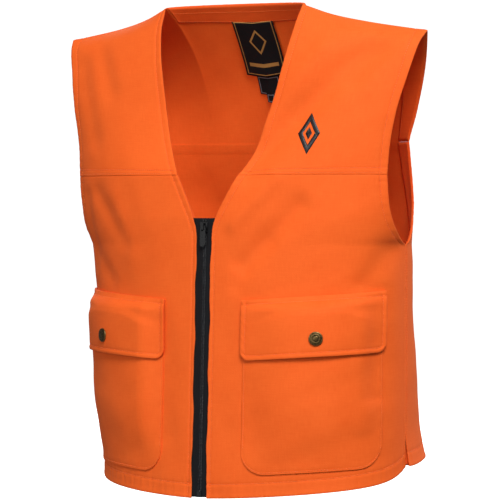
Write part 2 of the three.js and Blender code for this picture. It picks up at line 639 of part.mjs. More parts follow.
function sliderGeometry() {
  const length = [SLIDER_FOOT, SLIDER_TOP];
  const halfWidth = [-SLIDER_HALF_WIDTH, SLIDER_HALF_WIDTH];
  const outer = plateFront + SLIDER_PLATE;
  const parts = [
    block(halfWidth, [plateBack - SLIDER_PLATE, plateBack], length),
    block([-CHAIN_INNER / 2, CHAIN_INNER / 2], [plateBack - 0.2, plateFront + 0.2], length),
  ];
  for (const side of SIDES) {
    const rim = across(side, SLIDER_HALF_WIDTH - FLANGE, SLIDER_HALF_WIDTH);
    parts.push(block(rim, [tapeSlot[1], plateFront + 0.2], length));
    parts.push(block(rim, [plateBack - 0.2, tapeSlot[0]], length));
  }
  const bail = [-BAIL_HALF_WIDTH, BAIL_HALF_WIDTH];
  const bailTop = outer + BAIL_HEIGHT;
  parts.push(block(bail, [bailTop - BAIL_BAR, bailTop], [pivotZ - BAIL_REACH, pivotZ + BAIL_REACH]));
  for (const end of [-1, 1]) {
    const heights = [pivotZ + end * BAIL_REACH, pivotZ + end * (BAIL_REACH - BAIL_BAR)];
    parts.push(block(bail, [outer - 0.2, bailTop - 0.1], heights.sort((a, b) => a - b)));
  }
  const plate = solid(block(halfWidth, [plateFront, outer], length));
  return geometryOf(parts.reduce((whole, part) => whole.add(solid(part)), plate));
}
add("zip_slider", sliderGeometry(), "slider", zip);

const PULL_HOLE_HALF_WIDTH = BAIL_HALF_WIDTH + 0.6;
const PULL_HOLE_LENGTH = Math.hypot(BAIL_REACH, BAIL_HEIGHT - 2) + 1.5;
const PULL_BAR = 0.7; // half the thickness of the pull's cross bar

function pullGeometry() {
  const half = PULL_WIDTH / 2;
  const shape = new THREE.Shape();
  shape.moveTo(-half + 0.6, PULL_BAR);
  shape.lineTo(half - 0.6, PULL_BAR);
  shape.lineTo(half, -3);
  shape.lineTo(half, -PULL_LENGTH + half);
  shape.absarc(0, -PULL_LENGTH + half, half, 0, -Math.PI, true);
  shape.lineTo(-half, -3);
  shape.closePath();
  const window = new THREE.Path();
  window.moveTo(-PULL_HOLE_HALF_WIDTH, -PULL_BAR);
  window.lineTo(-PULL_HOLE_HALF_WIDTH, -PULL_HOLE_LENGTH);
  window.lineTo(PULL_HOLE_HALF_WIDTH, -PULL_HOLE_LENGTH);
  window.lineTo(PULL_HOLE_HALF_WIDTH, -PULL_BAR);
  window.closePath();
  shape.holes.push(window);
  const settings = { depth: PULL_THICKNESS, bevelEnabled: false, curveSegments: 8 };
  const plate = new THREE.ExtrudeGeometry(shape, settings);
  return plate.rotateX(Math.PI / 2).translate(0, PULL_THICKNESS / 2, 0);
}
add("zip_pull", pullGeometry(), "slider", zip).position.set(0, -pivotDepth, pivotZ);

// ================================================================ pockets and flaps
const edgeRise = 14; // width over which the pouch swells from its sewn foot
const SIDE_RISE = 8; // the same at its sewn sides, which stand up like bellows
const MOUTH_LEAN = 0.75; // share of the pouch's depth left at its mouth
const EDGE_SEAT = 0.4; // sewn edges lie this far off the front panel
const slope = (s) => POCKET_SLOPE * (s - POCKET_INNER_S);
const flapSeamZ = (s) => FLAP_SEAM_Z + slope(s);
// The mouth dips towards its ends, out of the way of the lifted flap's curved seam.
const mouthZ = (s) => {
  const end = Math.min(s - POCKET_INNER_S, POCKET_OUTER_S - s);
  return flapSeamZ(s) - MOUTH_DROP - MOUTH_DIP * (1 - smooth(end / MOUTH_DIP_WIDTH));
};

// Height of a rounded lower edge above its straight line, at a distance from the nearer side.
function cornerLift(distance, radius) {
  const d = Math.min(Math.max(distance, 0), radius);
  return radius - Math.sqrt(Math.max(0, radius ** 2 - (radius - d) ** 2));
}
const pocketFootZ = (s) => POCKET_BOTTOM_Z + slope(s)
  + cornerLift(Math.min(s - POCKET_INNER_S, POCKET_OUTER_S - s), POCKET_CORNER);

// Stand-off of the pouch's outer face: nothing at the sewn sides and foot, and less at the mouth,
// where the flap holds it down.
function pouch(s, z) {
  const side = Math.min(s - POCKET_INNER_S, POCKET_OUTER_S - s);
  const foot = z - pocketFootZ(s);
  const swell = smooth(side / SIDE_RISE) * smooth(foot / (1.6 * edgeRise));
  const height = clamp01(foot / (mouthZ(s) - pocketFootZ(s)));
  const lean = lerp(MOUTH_LEAN, 1, smooth((mouthZ(s) - z) / edgeRise));
  return EDGE_SEAT + FABRIC + POCKET_DEPTH * swell * lean * lerp(0.72, 1, smooth(height * 1.3));
}

function pocketGrid(side) {
  const rows = [0, 0.06, 0.13, 0.22, 0.4, 0.6, 0.8, 0.925, 1];
  return grid(POCKET_COLUMNS, rows, (s, row) => {
    const z = lerp(pocketFootZ(s), mouthZ(s), row);
    return front(side, s, z);
  });
}

// The flap lies on the shell at its seam and rides out over the pouch within a short drop.
const SNAP_STACK = 3.9; // room for socket and stud between pouch and flap
const FLAP_RISE = 16;
const FLAP_SIDE_STAND = 0.72; // share of the stand-off left at the flap's side edges
function flapStand(reach, drop) {
  const full = POCKET_DEPTH + EDGE_SEAT + FABRIC + SNAP_STACK;
  const share = lerp(FLAP_SIDE_STAND, 1, smooth(reach / (1.6 * edgeRise)));
  return lerp(GAP, full * share, smooth(drop / FLAP_RISE));
}
const FLAP_COLUMNS = POCKET_COLUMNS.map((s, i) =>
  i === 0 ? s - FLAP_OVERHANG : i === POCKET_COLUMNS.length - 1 ? s + FLAP_OVERHANG : s,
);
const FLAP_ROWS = [0, 0.1, 0.2, 0.34, 0.55, 0.78, 1];
const flapReach = (s) => Math.min(s - FLAP_COLUMNS[0], FLAP_COLUMNS[FLAP_COLUMNS.length - 1] - s);
const flapDrop = (s, row) => row * (FLAP_HEIGHT - cornerLift(flapReach(s), FLAP_CORNER));
function flapGrid(side) {
  return grid(FLAP_COLUMNS, FLAP_ROWS, (s, row) => front(side, s, flapSeamZ(s) - flapDrop(s, row)));
}

const snapS = (POCKET_INNER_S + POCKET_OUTER_S) / 2 + 3;
const snapZ = flapSeamZ(snapS) - SNAP_DROP;

// A turned piece whose axis stands on the front panel at the snap.
function onSnap(name, profilePoints, finish, side, depth) {
  const turned = new THREE.LatheGeometry(profilePoints.map(([r, y]) => new THREE.Vector2(r, y)), 20);
  const mesh = add(name, geometryOf(solid(turned)), finish);
  const frame = snapFrame(side);
  mesh.quaternion.setFromUnitVectors(vec(0, 1, 0), frame.normal);
  mesh.position.copy(frame.point).addScaledVector(frame.normal, depth);
}

function snapFrame(side) {
  const step = 2;
  const along = front(side, snapS + step, snapZ).sub(front(side, snapS - step, snapZ));
  const up = front(side, snapS, snapZ + step).sub(front(side, snapS, snapZ - step));
  const normal = along.cross(up).normalize();
  if (normal.y > 0) normal.negate();
  return { point: front(side, snapS, snapZ), normal };
}

const CAP = [[0, 0], [0.93, 0], [1, 0.5], [0.96, 1.2], [0.8, 1.9], [0.45, 2.4], [0, 2.6]];
for (const side of SIDES) {
  const pocket = pocketGrid(side);
  const face = (i, j) => {
    const s = POCKET_COLUMNS[i];
    return pouch(s, pocket.points[i][j].z);
  };
  add(`pocket_${side}`, slab(pocket, face, (i, j) => face(i, j) - FABRIC), "orange");

  const flap = flapGrid(side);
  const stand = (i, j) => flapStand(flapReach(FLAP_COLUMNS[i]), flapDrop(FLAP_COLUMNS[i], FLAP_ROWS[j]));
  add(`flap_lining_${side}`, slab(flap, (i, j) => stand(i, j) + FACING, stand), "lining");
  const over = (i, j) => stand(i, j) + FACING + GAP;
  add(`flap_${side}`, slab(flap, (i, j) => over(i, j) + FABRIC, over), "orange");

  const pocketFace = pouch(snapS, snapZ);
  const flapInner = flapStand(flapReach(snapS), SNAP_DROP);
  const flapOuter = flapInner + FACING + GAP + FABRIC;
  onSnap(`snap_cap_${side}`, CAP.map(([r, y]) => [r * SNAP_CAP_RADIUS, y]), "brass", side, flapOuter + 0.5);
  onSnap(`snap_socket_${side}`,
    [[SOCKET_BORE, 0], [6.2, 0], [6.2, 1.4], [5, 2], [SOCKET_BORE, 2], [SOCKET_BORE, 0]], "brass", side,
    flapInner - 2.5);
  onSnap(`snap_stud_${side}`,
    [[0, 0], [5.6, 0], [5.6, 0.6], [STUD_RADIUS, 0.8], [STUD_RADIUS, STUD_HEIGHT], [0, STUD_HEIGHT]],
    "brass", side, pocketFace + 0.5);
  onSnap(`snap_eyelet_${side}`, [[0, 0], [5, 0], [5, 0.6], [0, 0.6]], "brass", side,
    pocketFace - FABRIC - 1.1);
}

// ================================================================ labels and emblem
// Labels hang inside the back neck, each of one width; their depths count from the yoke's outer face.
const yokeShareAt = (x, v) => 2 * halve((t) => backYokePoint(2 * t - 1, v).x < x) - 1;
function label(name, width, from, to, depth) {
  const sheet = grid(spread(-width / 2, width / 2, 4), spread(to, from, 4), (x, v) =>
    backYokePoint(yokeShareAt(x, v), v));
  add(name, slab(sheet, -depth, -depth - LABEL_THICKNESS), "label");
}
const yokeDrop = BACK_NECK_Z - BACK_YOKE_Z;
const labelTop = 0.93;
const labelFoot = labelTop - LABEL_LENGTH / (1.16 * yokeDrop);
const careFoot = labelFoot - CARE_LABEL_LENGTH / (1.1 * yokeDrop);
const labelDepth = inside + FACING + 1.2;
label("main_label", LABEL_WIDTH, labelTop, labelFoot, labelDepth);
label("care_label", CARE_LABEL_WIDTH, labelFoot + 0.06, careFoot, labelDepth - 1.5);
label("size_tab", SIZE_TAB_WIDTH, careFoot + 0.03, careFoot - 0.05, labelDepth - 0.2);

// A plain lozenge of satin stitch on the left chest.
const leftYoke = frontYokeGrid("left");
function yokeAt(u, v) {
  const i = Math.min(YOKE_COLUMNS - 1, Math.floor(u * YOKE_COLUMNS));
  const j = Math.min(YOKE_ROWS - 1, Math.floor(v * YOKE_ROWS));
  const [a, b] = [u * YOKE_COLUMNS - i, v * YOKE_ROWS - j];
  const p = leftYoke.points;
  return mix(mix(p[i][j], p[i + 1][j], a), mix(p[i][j + 1], p[i + 1][j + 1], a), b);
}
// The yoke's point at a given x and z, found by halving in both directions in turn.
function yokeUnder(x, z) {
  let [u, v] = [0.5, 0.5];
  for (let round = 0; round < 6; round += 1) {
    u = halve((t) => yokeAt(t, v).x < x);
    v = halve((t) => yokeAt(u, t).z < z);
  }
  return yokeAt(u, v);
}
function halve(below) {
  let [low, high] = [0, 1];
  for (let i = 0; i < 30; i += 1) {
    const middle = (low + high) / 2;
    if (below(middle)) low = middle;
    else high = middle;
  }
  return low;
}
function emblemGeometry() {
  const sheet = grid([-1, 0, 1], spread(-1, 1, 8), (k, t) => {
    const half = Math.max(0.8, (EMBLEM_WIDTH / 2) * (1 - Math.abs(t)));
    return yokeUnder(EMBLEM_X + k * half, EMBLEM_Z + (t * EMBLEM_HEIGHT) / 2);
  });
  return slab(sheet, 1.3, 0.4);
}
add("chest_emblem", emblemGeometry(), "label");

// ================================================================ joint axes, for whoever assembles it
const flapAxis = (side) => {
  const [s0, s1] = [FLAP_COLUMNS[0], FLAP_COLUMNS[FLAP_COLUMNS.length - 1]];
  const [a, b] = [front(side, s0, flapSeamZ(s0)), front(side, s1, flapSeamZ(s1))];
  const direction = b.clone().sub(a).normalize();
  const middle = front(side, snapS, flapSeamZ(snapS));
  const outward = snapFrame(side).normal.multiplyScalar(GAP + FACING + GAP + FABRIC);
  return { point: middle.add(outward).add(vec(0, 0, -NECK_POINT_Z)), direction };
};
// Each front swings on its side seam, from the hem up to the foot of the armhole.
const seamAxis = (side) => {
  const m = mirrorOf(side);
  const foot = vec(m * HEM_HALF_WIDTH[side], SIDE_SEAM_Y, -NECK_POINT_Z);
  const top = vec(m * SIDE_HALF_WIDTH[side], SIDE_SEAM_Y, ARMHOLE_Z - NECK_POINT_Z);
  return { point: foot, direction: top.sub(foot).normalize().multiplyScalar(m) };
};
root.userData.joints = {
  front_left: seamAxis("left"),
  front_right: seamAxis("right"),
  flap_left: flapAxis("left"),
  flap_right: flapAxis("right"),
  zip_direction: vec(0, FRONT_DEPTH_ZIP_TOP - FRONT_DEPTH_HEM, -ZIP_TOP_Z).normalize(),
  zip_travel: SLIDER_FOOT - CHAIN_FOOT - 0.6,
  pull: vec(0, -pivotDepth, pivotZ).applyEuler(zip.rotation).add(zip.position).add(vec(0, 0, -NECK_POINT_Z)),
};

export default root;
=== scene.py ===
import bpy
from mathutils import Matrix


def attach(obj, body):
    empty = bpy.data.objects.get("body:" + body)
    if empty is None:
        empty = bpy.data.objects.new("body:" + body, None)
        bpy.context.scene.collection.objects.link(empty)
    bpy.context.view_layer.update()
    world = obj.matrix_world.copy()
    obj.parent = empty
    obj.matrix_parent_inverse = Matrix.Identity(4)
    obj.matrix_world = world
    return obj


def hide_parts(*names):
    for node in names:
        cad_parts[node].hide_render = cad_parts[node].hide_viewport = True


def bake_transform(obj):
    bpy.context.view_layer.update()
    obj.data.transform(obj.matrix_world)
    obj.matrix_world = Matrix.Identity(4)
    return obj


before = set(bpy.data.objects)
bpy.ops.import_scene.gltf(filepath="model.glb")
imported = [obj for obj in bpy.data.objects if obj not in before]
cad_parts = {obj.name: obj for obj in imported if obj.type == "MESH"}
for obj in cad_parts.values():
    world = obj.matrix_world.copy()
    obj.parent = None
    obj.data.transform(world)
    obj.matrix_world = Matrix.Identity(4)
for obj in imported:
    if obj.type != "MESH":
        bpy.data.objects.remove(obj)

"""A sleeveless blaze orange field vest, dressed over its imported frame.

Lengths are millimetres while a surface is worked out, with heights counted from the hem at centre
front, and metres once a piece is made. The wearer faces -Y and the wearer's left is +X.
"""
import logging
import math
from dataclasses import dataclass, field
from enum import Enum
from typing import Any, Callable, Optional, Sequence

import bpy
import numpy as np
from mathutils import Vector

LOG = logging.getLogger("vest")
Array = np.ndarray


class Side(Enum):
    """The wearer's left or right."""

    LEFT = "left"
    RIGHT = "right"

    @property
    def mirror(self) -> int:
        """Sign of x on this side."""
        return 1 if self is Side.LEFT else -1


class Held(Enum):
    """How a sheet of cloth is held."""

    HUNG = "hung"
    LAID = "laid"
    FOLDED = "folded"


# ---------------------------------------------------------------------------- small helpers
def lerp(a: Any, b: Any, t: Any) -> Any:
    """The value a share t of the way from a to b."""
    return a + (b - a) * t


def smooth(t: Any) -> Array:
    """A share eased at both ends."""
    t = np.clip(t, 0, 1)
    return t * t * (3 - 2 * t)


def ease_out(t: Any) -> Array:
    """A share that starts fast and ends slowly."""
    return 1 - (1 - np.clip(t, 0, 1)) ** 2


def bump(distance: Any, width: float) -> Array:
    """A bell of height 1 and the given width round distance 0."""
    return np.exp(-((np.asarray(distance) / width) ** 2))


def unit(vectors: Array) -> Array:
    """Vectors scaled to length 1."""
    return vectors / np.maximum(np.linalg.norm(vectors, axis=-1, keepdims=True), 1e-12)


def vec(x: Any, y: Any, z: Any) -> Array:
    """Points stacked from their coordinates."""
    return np.stack(np.broadcast_arrays(x, y, z), axis=-1).astype(float)


def spots(*runs: Sequence[float]) -> Array:
    """One rising list out of several, without repeats."""
    return np.unique(np.round(np.concatenate([np.asarray(r, float) for r in runs]), 4))


def grid_of(a: Array, b: Array) -> tuple[Array, Array]:
    """Two coordinates over a grid, columns by rows."""
    return tuple(np.meshgrid(a, b, indexing="ij"))


def through(points: Array) -> Callable[[Array], Array]:
    """A centripetal curve through points.

    Args:
        points: the points, one a row.

    Returns:
        A function from shares between 0 and 1 to points.
    """
    points = np.asarray(points, float)
    padded = np.vstack([2 * points[0] - points[1], points, 2 * points[-1] - points[-2]])
    pieces = []
    for i in range(len(points) - 1):
        p0, p1, p2, p3 = padded[i:i + 4]
        d0, d1, d2 = (math.sqrt(np.linalg.norm(b - a)) for a, b in ((p0, p1), (p1, p2), (p2, p3)))
        t1 = ((p1 - p0) / d0 - (p2 - p0) / (d0 + d1) + (p2 - p1) / d1) * d1
        t2 = ((p2 - p1) / d1 - (p3 - p1) / (d1 + d2) + (p3 - p2) / d2) * d1
        pieces.append((p1, t1, -3 * p1 + 3 * p2 - 2 * t1 - t2, 2 * p1 - 2 * p2 + t1 + t2))
    table = np.array(pieces)

    def at(t: Array) -> Array:
        """Points at shares t.

        Args:
            t: shares between 0 and 1.

        Returns:
            The points.
        """
        place = np.clip(np.asarray(t, float), 0, 1) * len(pieces)
        k = np.minimum(place.astype(int), len(pieces) - 1)
        w = (place - k)[..., None]
        c = table[k]
        return c[..., 0, :] + w * (c[..., 1, :] + w * (c[..., 2, :] + w * c[..., 3, :]))

    return at


def halve(below: Callable[[Array], Array], shape: tuple[int, ...], low: float, high: float) -> Array:
    """Finds by halving where a rising test stops being true.

    Args:
        below: says for trial values whether each is still below the answer.
        shape: shape of the answer.
        low: lowest trial value.
        high: highest trial value.

    Returns:
        The values found.
    """
    a, b = np.full(shape, low), np.full(shape, high)
    for _ in range(26):
        middle = (a + b) / 2
        under = below(middle)
        a, b = np.where(under, middle, a), np.where(under, b, middle)
    return (a + b) / 2


# ---------------------------------------------------------------------------- sizes
@dataclass(frozen=True)
class ShellSizes:
    """Sizes of the vest's body in millimetres, heights from the hem at centre front."""

    neck_z: float = 630.0
    tip_z: float = 594.0
    back_neck_z: float = 635.0
    front_yoke_z: float = 411.0
    back_yoke_z: float = 454.0
    armhole_z: float = 322.0
    zip_top_z: float = 356.0
    side_rise: float = 40.0
    back_rise: float = 48.0
    neck_half: float = 101.0
    shoulder_half: float = 261.0
    side_half: float = 226.0
    hem_half: dict[Side, float] = field(default_factory=lambda: {Side.LEFT: 226.0, Side.RIGHT: 204.0})
    vent_flare: float = 10.0
    vent_z: float = 90.0
    chest_half: float = 246.0
    back_half: float = 236.0
    front_depth: tuple[float, float, float] = (126.0, 111.0, 105.0)
    back_depth: tuple[float, float, float, float] = (160.0, 121.0, 112.0, 97.0)
    seam_y: float = 11.0
    hem_square: float = 3.2
    back_square: float = 2.3
    front_square: dict[Side, float] = field(default_factory=lambda: {Side.LEFT: 2.3, Side.RIGHT: 2.0})
    neck_y: float = -32.0
    tip_y: float = 1.0
    back_neck_y: float = 7.0
    front_armhole_y: float = -42.0
    back_armhole_y: float = 49.0
    v_half: float = 44.0
    zip_edge: float = 9.0
    zip_edge_top: float = 14.5
    neck_share: float = 0.42

    @property
    def v_start_z(self) -> float:
        """Height at which the front edge starts to leave the zip."""
        return 0.93 * self.zip_top_z


@dataclass(frozen=True)
class ClothSizes:
    """Thicknesses and seam distances of the cloth in millimetres."""

    fabric: float = 1.2
    gap: float = 0.3
    facing: float = 0.9
    seam_gap: float = 0.4
    hem_band: float = 20.0
    edge_sag: float = 0.7
    tape_thick: float = 0.7
    armhole_stitch: float = 10.0
    neck_stitch: float = 9.0
    front_stitch: float = 6.5
    hem_stitch: float = 18.0
    facing_width: float = 26.0

    @property
    def inside(self) -> float:
        """Depth at which a layer behind the shell starts."""
        return self.fabric + self.gap


SHELL = ShellSizes()
CLOTH = ClothSizes()


# ---------------------------------------------------------------------------- the shell's sections
class Sections:
    """Horizontal sections of the vest: quarters of superellipses from the centre to the side seam."""

    STEPS = 400
    SHARES = 300

    def __init__(self, sizes: ShellSizes) -> None:
        """Works out every quarter section at each millimetre of height.

        Args:
            sizes: sizes of the shell.
        """
        self.sizes = sizes
        self.levels = np.arange(0.0, sizes.back_yoke_z + 2)
        self.lines = {(s, b): self._resample(s, b) for s in Side for b in (False, True)}
        self.edges = {(s, b): self._edge(s, b) for s in Side for b in (False, True)}

    def above(self, z: Array, top: float) -> Array:
        """Share of the climb from the armhole's foot to top."""
        return np.clip((z - self.sizes.armhole_z) / (top - self.sizes.armhole_z), 0, 1)

    def side_y(self, z: Array) -> Array:
        """Where a section ends, in y."""
        return lerp(self.sizes.seam_y, 0, self.above(z, self.sizes.front_yoke_z))

    def _half(self, side: Side, z: Array, back: bool) -> Array:
        """Half width of a section.

        Args:
            side: left or right.
            z: heights.
            back: True for the back.

        Returns:
            Half widths.
        """
        k = self.sizes
        seam = lerp(k.hem_half[side], k.side_half, np.clip(z / k.armhole_z, 0, 1) ** 2.4)
        if not back:
            return lerp(seam, k.chest_half, ease_out(self.above(z, k.front_yoke_z)))
        wide = lerp(seam, k.back_half, ease_out(self.above(z, k.back_yoke_z)))
        return wide + k.vent_flare * smooth(1 - z / k.vent_z)

    def _depth(self, z: Array, back: bool) -> Array:
        """How far a section reaches forward or back from the origin.

        Args:
            z: heights.
            back: True for the back.

        Returns:
            Depths.
        """
        k = self.sizes
        if not back:
            return np.interp(z, [0, k.zip_top_z, k.front_yoke_z], k.front_depth)
        chest = lerp(k.armhole_z, k.back_yoke_z, 0.42)
        return np.interp(z, [0, 0.84 * k.armhole_z, chest, k.back_yoke_z], k.back_depth)

    def _power(self, side: Side, z: Array, back: bool) -> Array:
        """Power of the superellipse.

        Args:
            side: left or right.
            z: heights.
            back: True for the back.

        Returns:
            Powers.
        """
        k = self.sizes
        if back:
            return 2 / np.interp(z, [0, 0.7 * k.armhole_z], [k.hem_square, k.back_square])
        return 2 / lerp(k.front_square[side], 2, self.above(z, k.front_yoke_z))

    def _resample(self, side: Side, back: bool) -> tuple[Array, Array]:
        """Points at even shares of each section's length, and the lengths.

        Args:
            side: left or right.
            back: True for the back.

        Returns:
            The points by level, and each level's length.
        """
        z = self.levels[:, None]
        angle = (math.pi / 2) * np.linspace(0, 1, self.STEPS + 1)[None, :]
        power = self._power(side, z, back)
        y0 = self.side_y(z)
        depth = self._depth(z, back) - y0 if back else self._depth(z, back) + y0
        x = self._half(side, z, back) * np.sin(angle) ** power
        y = depth * np.maximum(0, np.cos(angle)) ** power
        y = y0 + y if back else y0 - y
        steps = np.hypot(np.diff(x, axis=1), np.diff(y, axis=1))
        along = np.concatenate([np.zeros_like(z), np.cumsum(steps, axis=1)], axis=1)
        shares = np.linspace(0, 1, self.SHARES + 1)
        rows = [
            (np.interp(shares * a[-1], a, px), np.interp(shares * a[-1], a, py))
            for a, px, py in zip(along, x, y)
        ]
        return np.array(rows), along[:, -1]

    def _edge(self, side: Side, back: bool) -> Array:
        """Length from the centre to the side seam or the armhole's edge at each level.

        Args:
            side: left or right.
            back: True for the back.

        Returns:
            Lengths.
        """
        k = self.sizes
        line, total = self.lines[side, back]
        z = self.levels
        top = k.back_yoke_z if back else k.front_yoke_z
        climb = (1 - (1 - self.above(z, top)) ** 3.2) ** 0.72
        target = lerp(k.seam_y, k.back_armhole_y if back else k.front_armhole_y, climb)
        side_y = self.side_y(z)
        target = np.maximum(target, side_y) if back else np.minimum(target, side_y - CLOTH.seam_gap)
        shares = np.linspace(0, 1, self.SHARES + 1)
        found = []
        for i in range(len(z)):
            if z[i] <= k.armhole_z:
                found.append(total[i] - (0 if back else CLOTH.seam_gap))
                continue
            y = line[i, 1]
            share = np.interp(-target[i], -y, shares) if back else np.interp(target[i], y, shares)
            found.append(share * total[i])
        return np.array(found)

    def edge(self, side: Side, z: Array, back: bool = False) -> Array:
        """Length from the centre to the cloth's outer edge at height z."""
        return np.interp(z, self.levels, self.edges[side, back])

    def at(self, side: Side, s: Array, z: Array, back: bool = False) -> Array:
        """Points on a section.

        Args:
            side: left or right.
            s: length along the section from the centre.
            z: heights.
            back: True for the back.

        Returns:
            Points, with x signed for the side.
        """
        line, total = self.lines[side, back]
        s, z = np.broadcast_arrays(np.asarray(s, float), np.asarray(z, float))
        level = np.clip(z, 0, self.levels[-1] - 1e-6)
        k = level.astype(int)
        w = level - k
        found = 0
        for row, weight in ((k, 1 - w), (k + 1, w)):
            place = np.clip(s / total[row], 0, 1) * self.SHARES
            i = np.minimum(place.astype(int), self.SHARES - 1)
            f = place - i
            x = lerp(line[row, 0, i], line[row, 0, i + 1], f)
            y = lerp(line[row, 1, i], line[row, 1, i + 1], f)
            found = found + np.stack([x, y], axis=-1) * weight[..., None]
        return vec(side.mirror * found[..., 0], found[..., 1], z)


SECTIONS = Sections(SHELL)


def opening(z: Array) -> Array:
    """Length from centre front to the front edge: beside the zip, then out along the V neck.

    Args:
        z: heights.

    Returns:
        Lengths.
    """
    k = SHELL
    heights = [
        k.v_start_z,
        lerp(k.v_start_z, k.zip_top_z, 0.6),
        k.zip_top_z,
        lerp(k.zip_top_z, k.front_yoke_z, 0.5),
        k.front_yoke_z,
    ]
    lengths = [
        k.zip_edge,
        lerp(k.zip_edge, k.zip_edge_top, 0.35),
        k.zip_edge_top,
        lerp(k.zip_edge_top, k.v_half, 0.5),
        k.v_half,
    ]
    return np.interp(z, heights, lengths)


def front_hem(share: Array) -> Array:
    """Height of the front hem at a share of the way to the side seam."""
    return SHELL.side_rise * (0.6 * share ** 1.5 + 0.4 * share ** 10)


def back_hem(share: Array) -> Array:
    """Height of the back hem at a share of the way to the side seam."""
    return lerp(SHELL.back_rise, SHELL.side_rise, smooth((np.abs(share) - 0.75) * 4))


# ---------------------------------------------------------------------------- folds of the cloth
@dataclass(frozen=True)
class Drape:
    """One soft fold: a ridge, or a valley where its rise is negative, along a line in x and z."""

    x0: float
    z0: float
    x1: float
    z1: float
    width: float
    rise: float

    def height(self, x: Array, z: Array) -> Array:
        """Height of the fold at points of the cloth.

        Args:
            x: distances from the middle.
            z: heights.

        Returns:
            Heights.
        """
        run = np.array([self.x1 - self.x0, self.z1 - self.z0])
        t = ((x - self.x0) * run[0] + (z - self.z0) * run[1]) / run.dot(run)
        inner = np.clip(t, 0.12, 0.88)
        across = np.hypot(x - self.x0 - inner * run[0], z - self.z0 - inner * run[1])
        return self.rise * bump(across, self.width)


FRONT_DRAPES = (
    Drape(-232, 574, -188, 444, 17, -3.0),
    Drape(-205, 596, -163, 513, 15, -2.8),
    Drape(-222, 520, -190, 430, 12, 1.2),
    Drape(-190, 399, -118, 314, 13, -2.6),
    Drape(-205, 327, -150, 269, 12, -2.4),
    Drape(-206, 400, -196, 280, 9, -1.6),
    Drape(-150, 396, -112, 300, 15, 1.4),
    Drape(-70, 240, -44, 60, 18, -1.4),
    Drape(214, 590, 102, 470, 17, -6.4),
    Drape(102, 472, 50, 408, 15, -4.8),
    Drape(158, 594, 60, 458, 18, 4.2),
    Drape(138, 382, 45, 286, 14, -5.0),
    Drape(104, 414, 32, 338, 11, 2.8),
    Drape(96, 330, 44, 262, 13, -1.8),
    Drape(243, 600, 176, 520, 12, -2.6),
    Drape(224, 318, 198, 268, 12, -3.6),
    Drape(213, 285, 206, 110, 10, -2.6),
    Drape(196, 250, 200, 70, 9, 1.6),
    Drape(60, 60, 46, 8, 15, 1.2),
)
BACK_DRAPES = (
    Drape(-150, 600, -70, 440, 26, -1.3),
    Drape(150, 600, 70, 440, 26, -1.3),
    Drape(-70, 600, 20, 440, 24, 1.2),
    Drape(-120, 420, -100, 120, 30, 3.4),
    Drape(-60, 400, -52, 80, 24, -2.8),
    Drape(10, 440, 0, 120, 30, 2.6),
    Drape(70, 420, 62, 100, 24, -3.0),
    Drape(130, 400, 128, 110, 28, 3.0),
    Drape(-195, 300, -180, 80, 18, -2.4),
    Drape(192, 300, 186, 80, 18, -2.4),
)
SNAP_X, SNAP_Z = 150.0, 204.0


def waves(x: Array, z: Array, length: float, seed: float) -> Array:
    """Gentle unevenness made of a few crossing waves, between -1 and 1.

    Args:
        x: first coordinate in millimetres.
        z: second coordinate in millimetres.
        length: wavelength in millimetres.
        seed: shifts the pattern.

    Returns:
        The heights.
    """
    k = 2 * math.pi / length
    total = np.sin(k * (0.93 * x + 0.37 * z) + seed)
    total = total + np.sin(k * (0.41 * x - 0.88 * z) * 1.31 + 2.1 * seed + 1.0)
    total = total + np.sin(k * (0.72 * x + 0.61 * z) * 0.73 + 0.7 * seed + 2.3)
    return total / 3


def folds(points: Array, back: bool) -> Array:
    """How far the cloth's folds carry it off its smooth shape.

    Args:
        points: points of the smooth shape.
        back: True on the back.

    Returns:
        Heights along the outward normal, kept to nothing beside the zip and at the snaps.
    """
    x, z = points[..., 0], points[..., 2]
    total = 0
    for drape in BACK_DRAPES if back else FRONT_DRAPES:
        total = total + drape.height(x, z)
    total = total + 1.1 * waves(x, z, 140.0, 2.0 if back else 0.4)
    total = total + 0.35 * waves(x, z, 43.0, 1.1)
    total = total * smooth((shoulder_height(x) - z - 1) / 45)
    # The two sides of the side seam keep together.
    seam = smooth((np.abs(points[..., 1] - SHELL.seam_y) - 1) / 34)
    total = total * lerp(seam, 1.0, smooth((z - SHELL.armhole_z) / 40))
    if back:
        return total * smooth(z / 30)
    beside_zip = smooth((np.abs(x) - 14) / 26)
    still = lerp(beside_zip, 1.0, smooth((z - SHELL.zip_top_z) / 40))
    snap = 1 - bump(np.hypot(np.abs(x) - SNAP_X, z - SNAP_Z), 38)
    return total * still * snap


def finished_edge(distance: Array, stitch: float, along: Array, seed: float) -> Array:
    """Relief of an edge turned under and topstitched: a rolled lip, a groove and slight puckers.

    Args:
        distance: distance from the edge in millimetres.
        stitch: distance of the stitch line.
        along: length along the edge.
        seed: shifts the puckers.

    Returns:
        Heights.
    """
    pucker = np.sin(along * 2 * math.pi / 11.3 + seed) + 0.7 * np.sin(along * 2 * math.pi / 7.1 + 2 * seed)
    roll = 0.5 * bump(distance - 2.4, 2.4)
    groove = -0.55 * bump(distance - stitch, 1.35)
    return roll + groove + 0.2 * pucker * bump(distance - stitch * 0.7, stitch * 0.8)


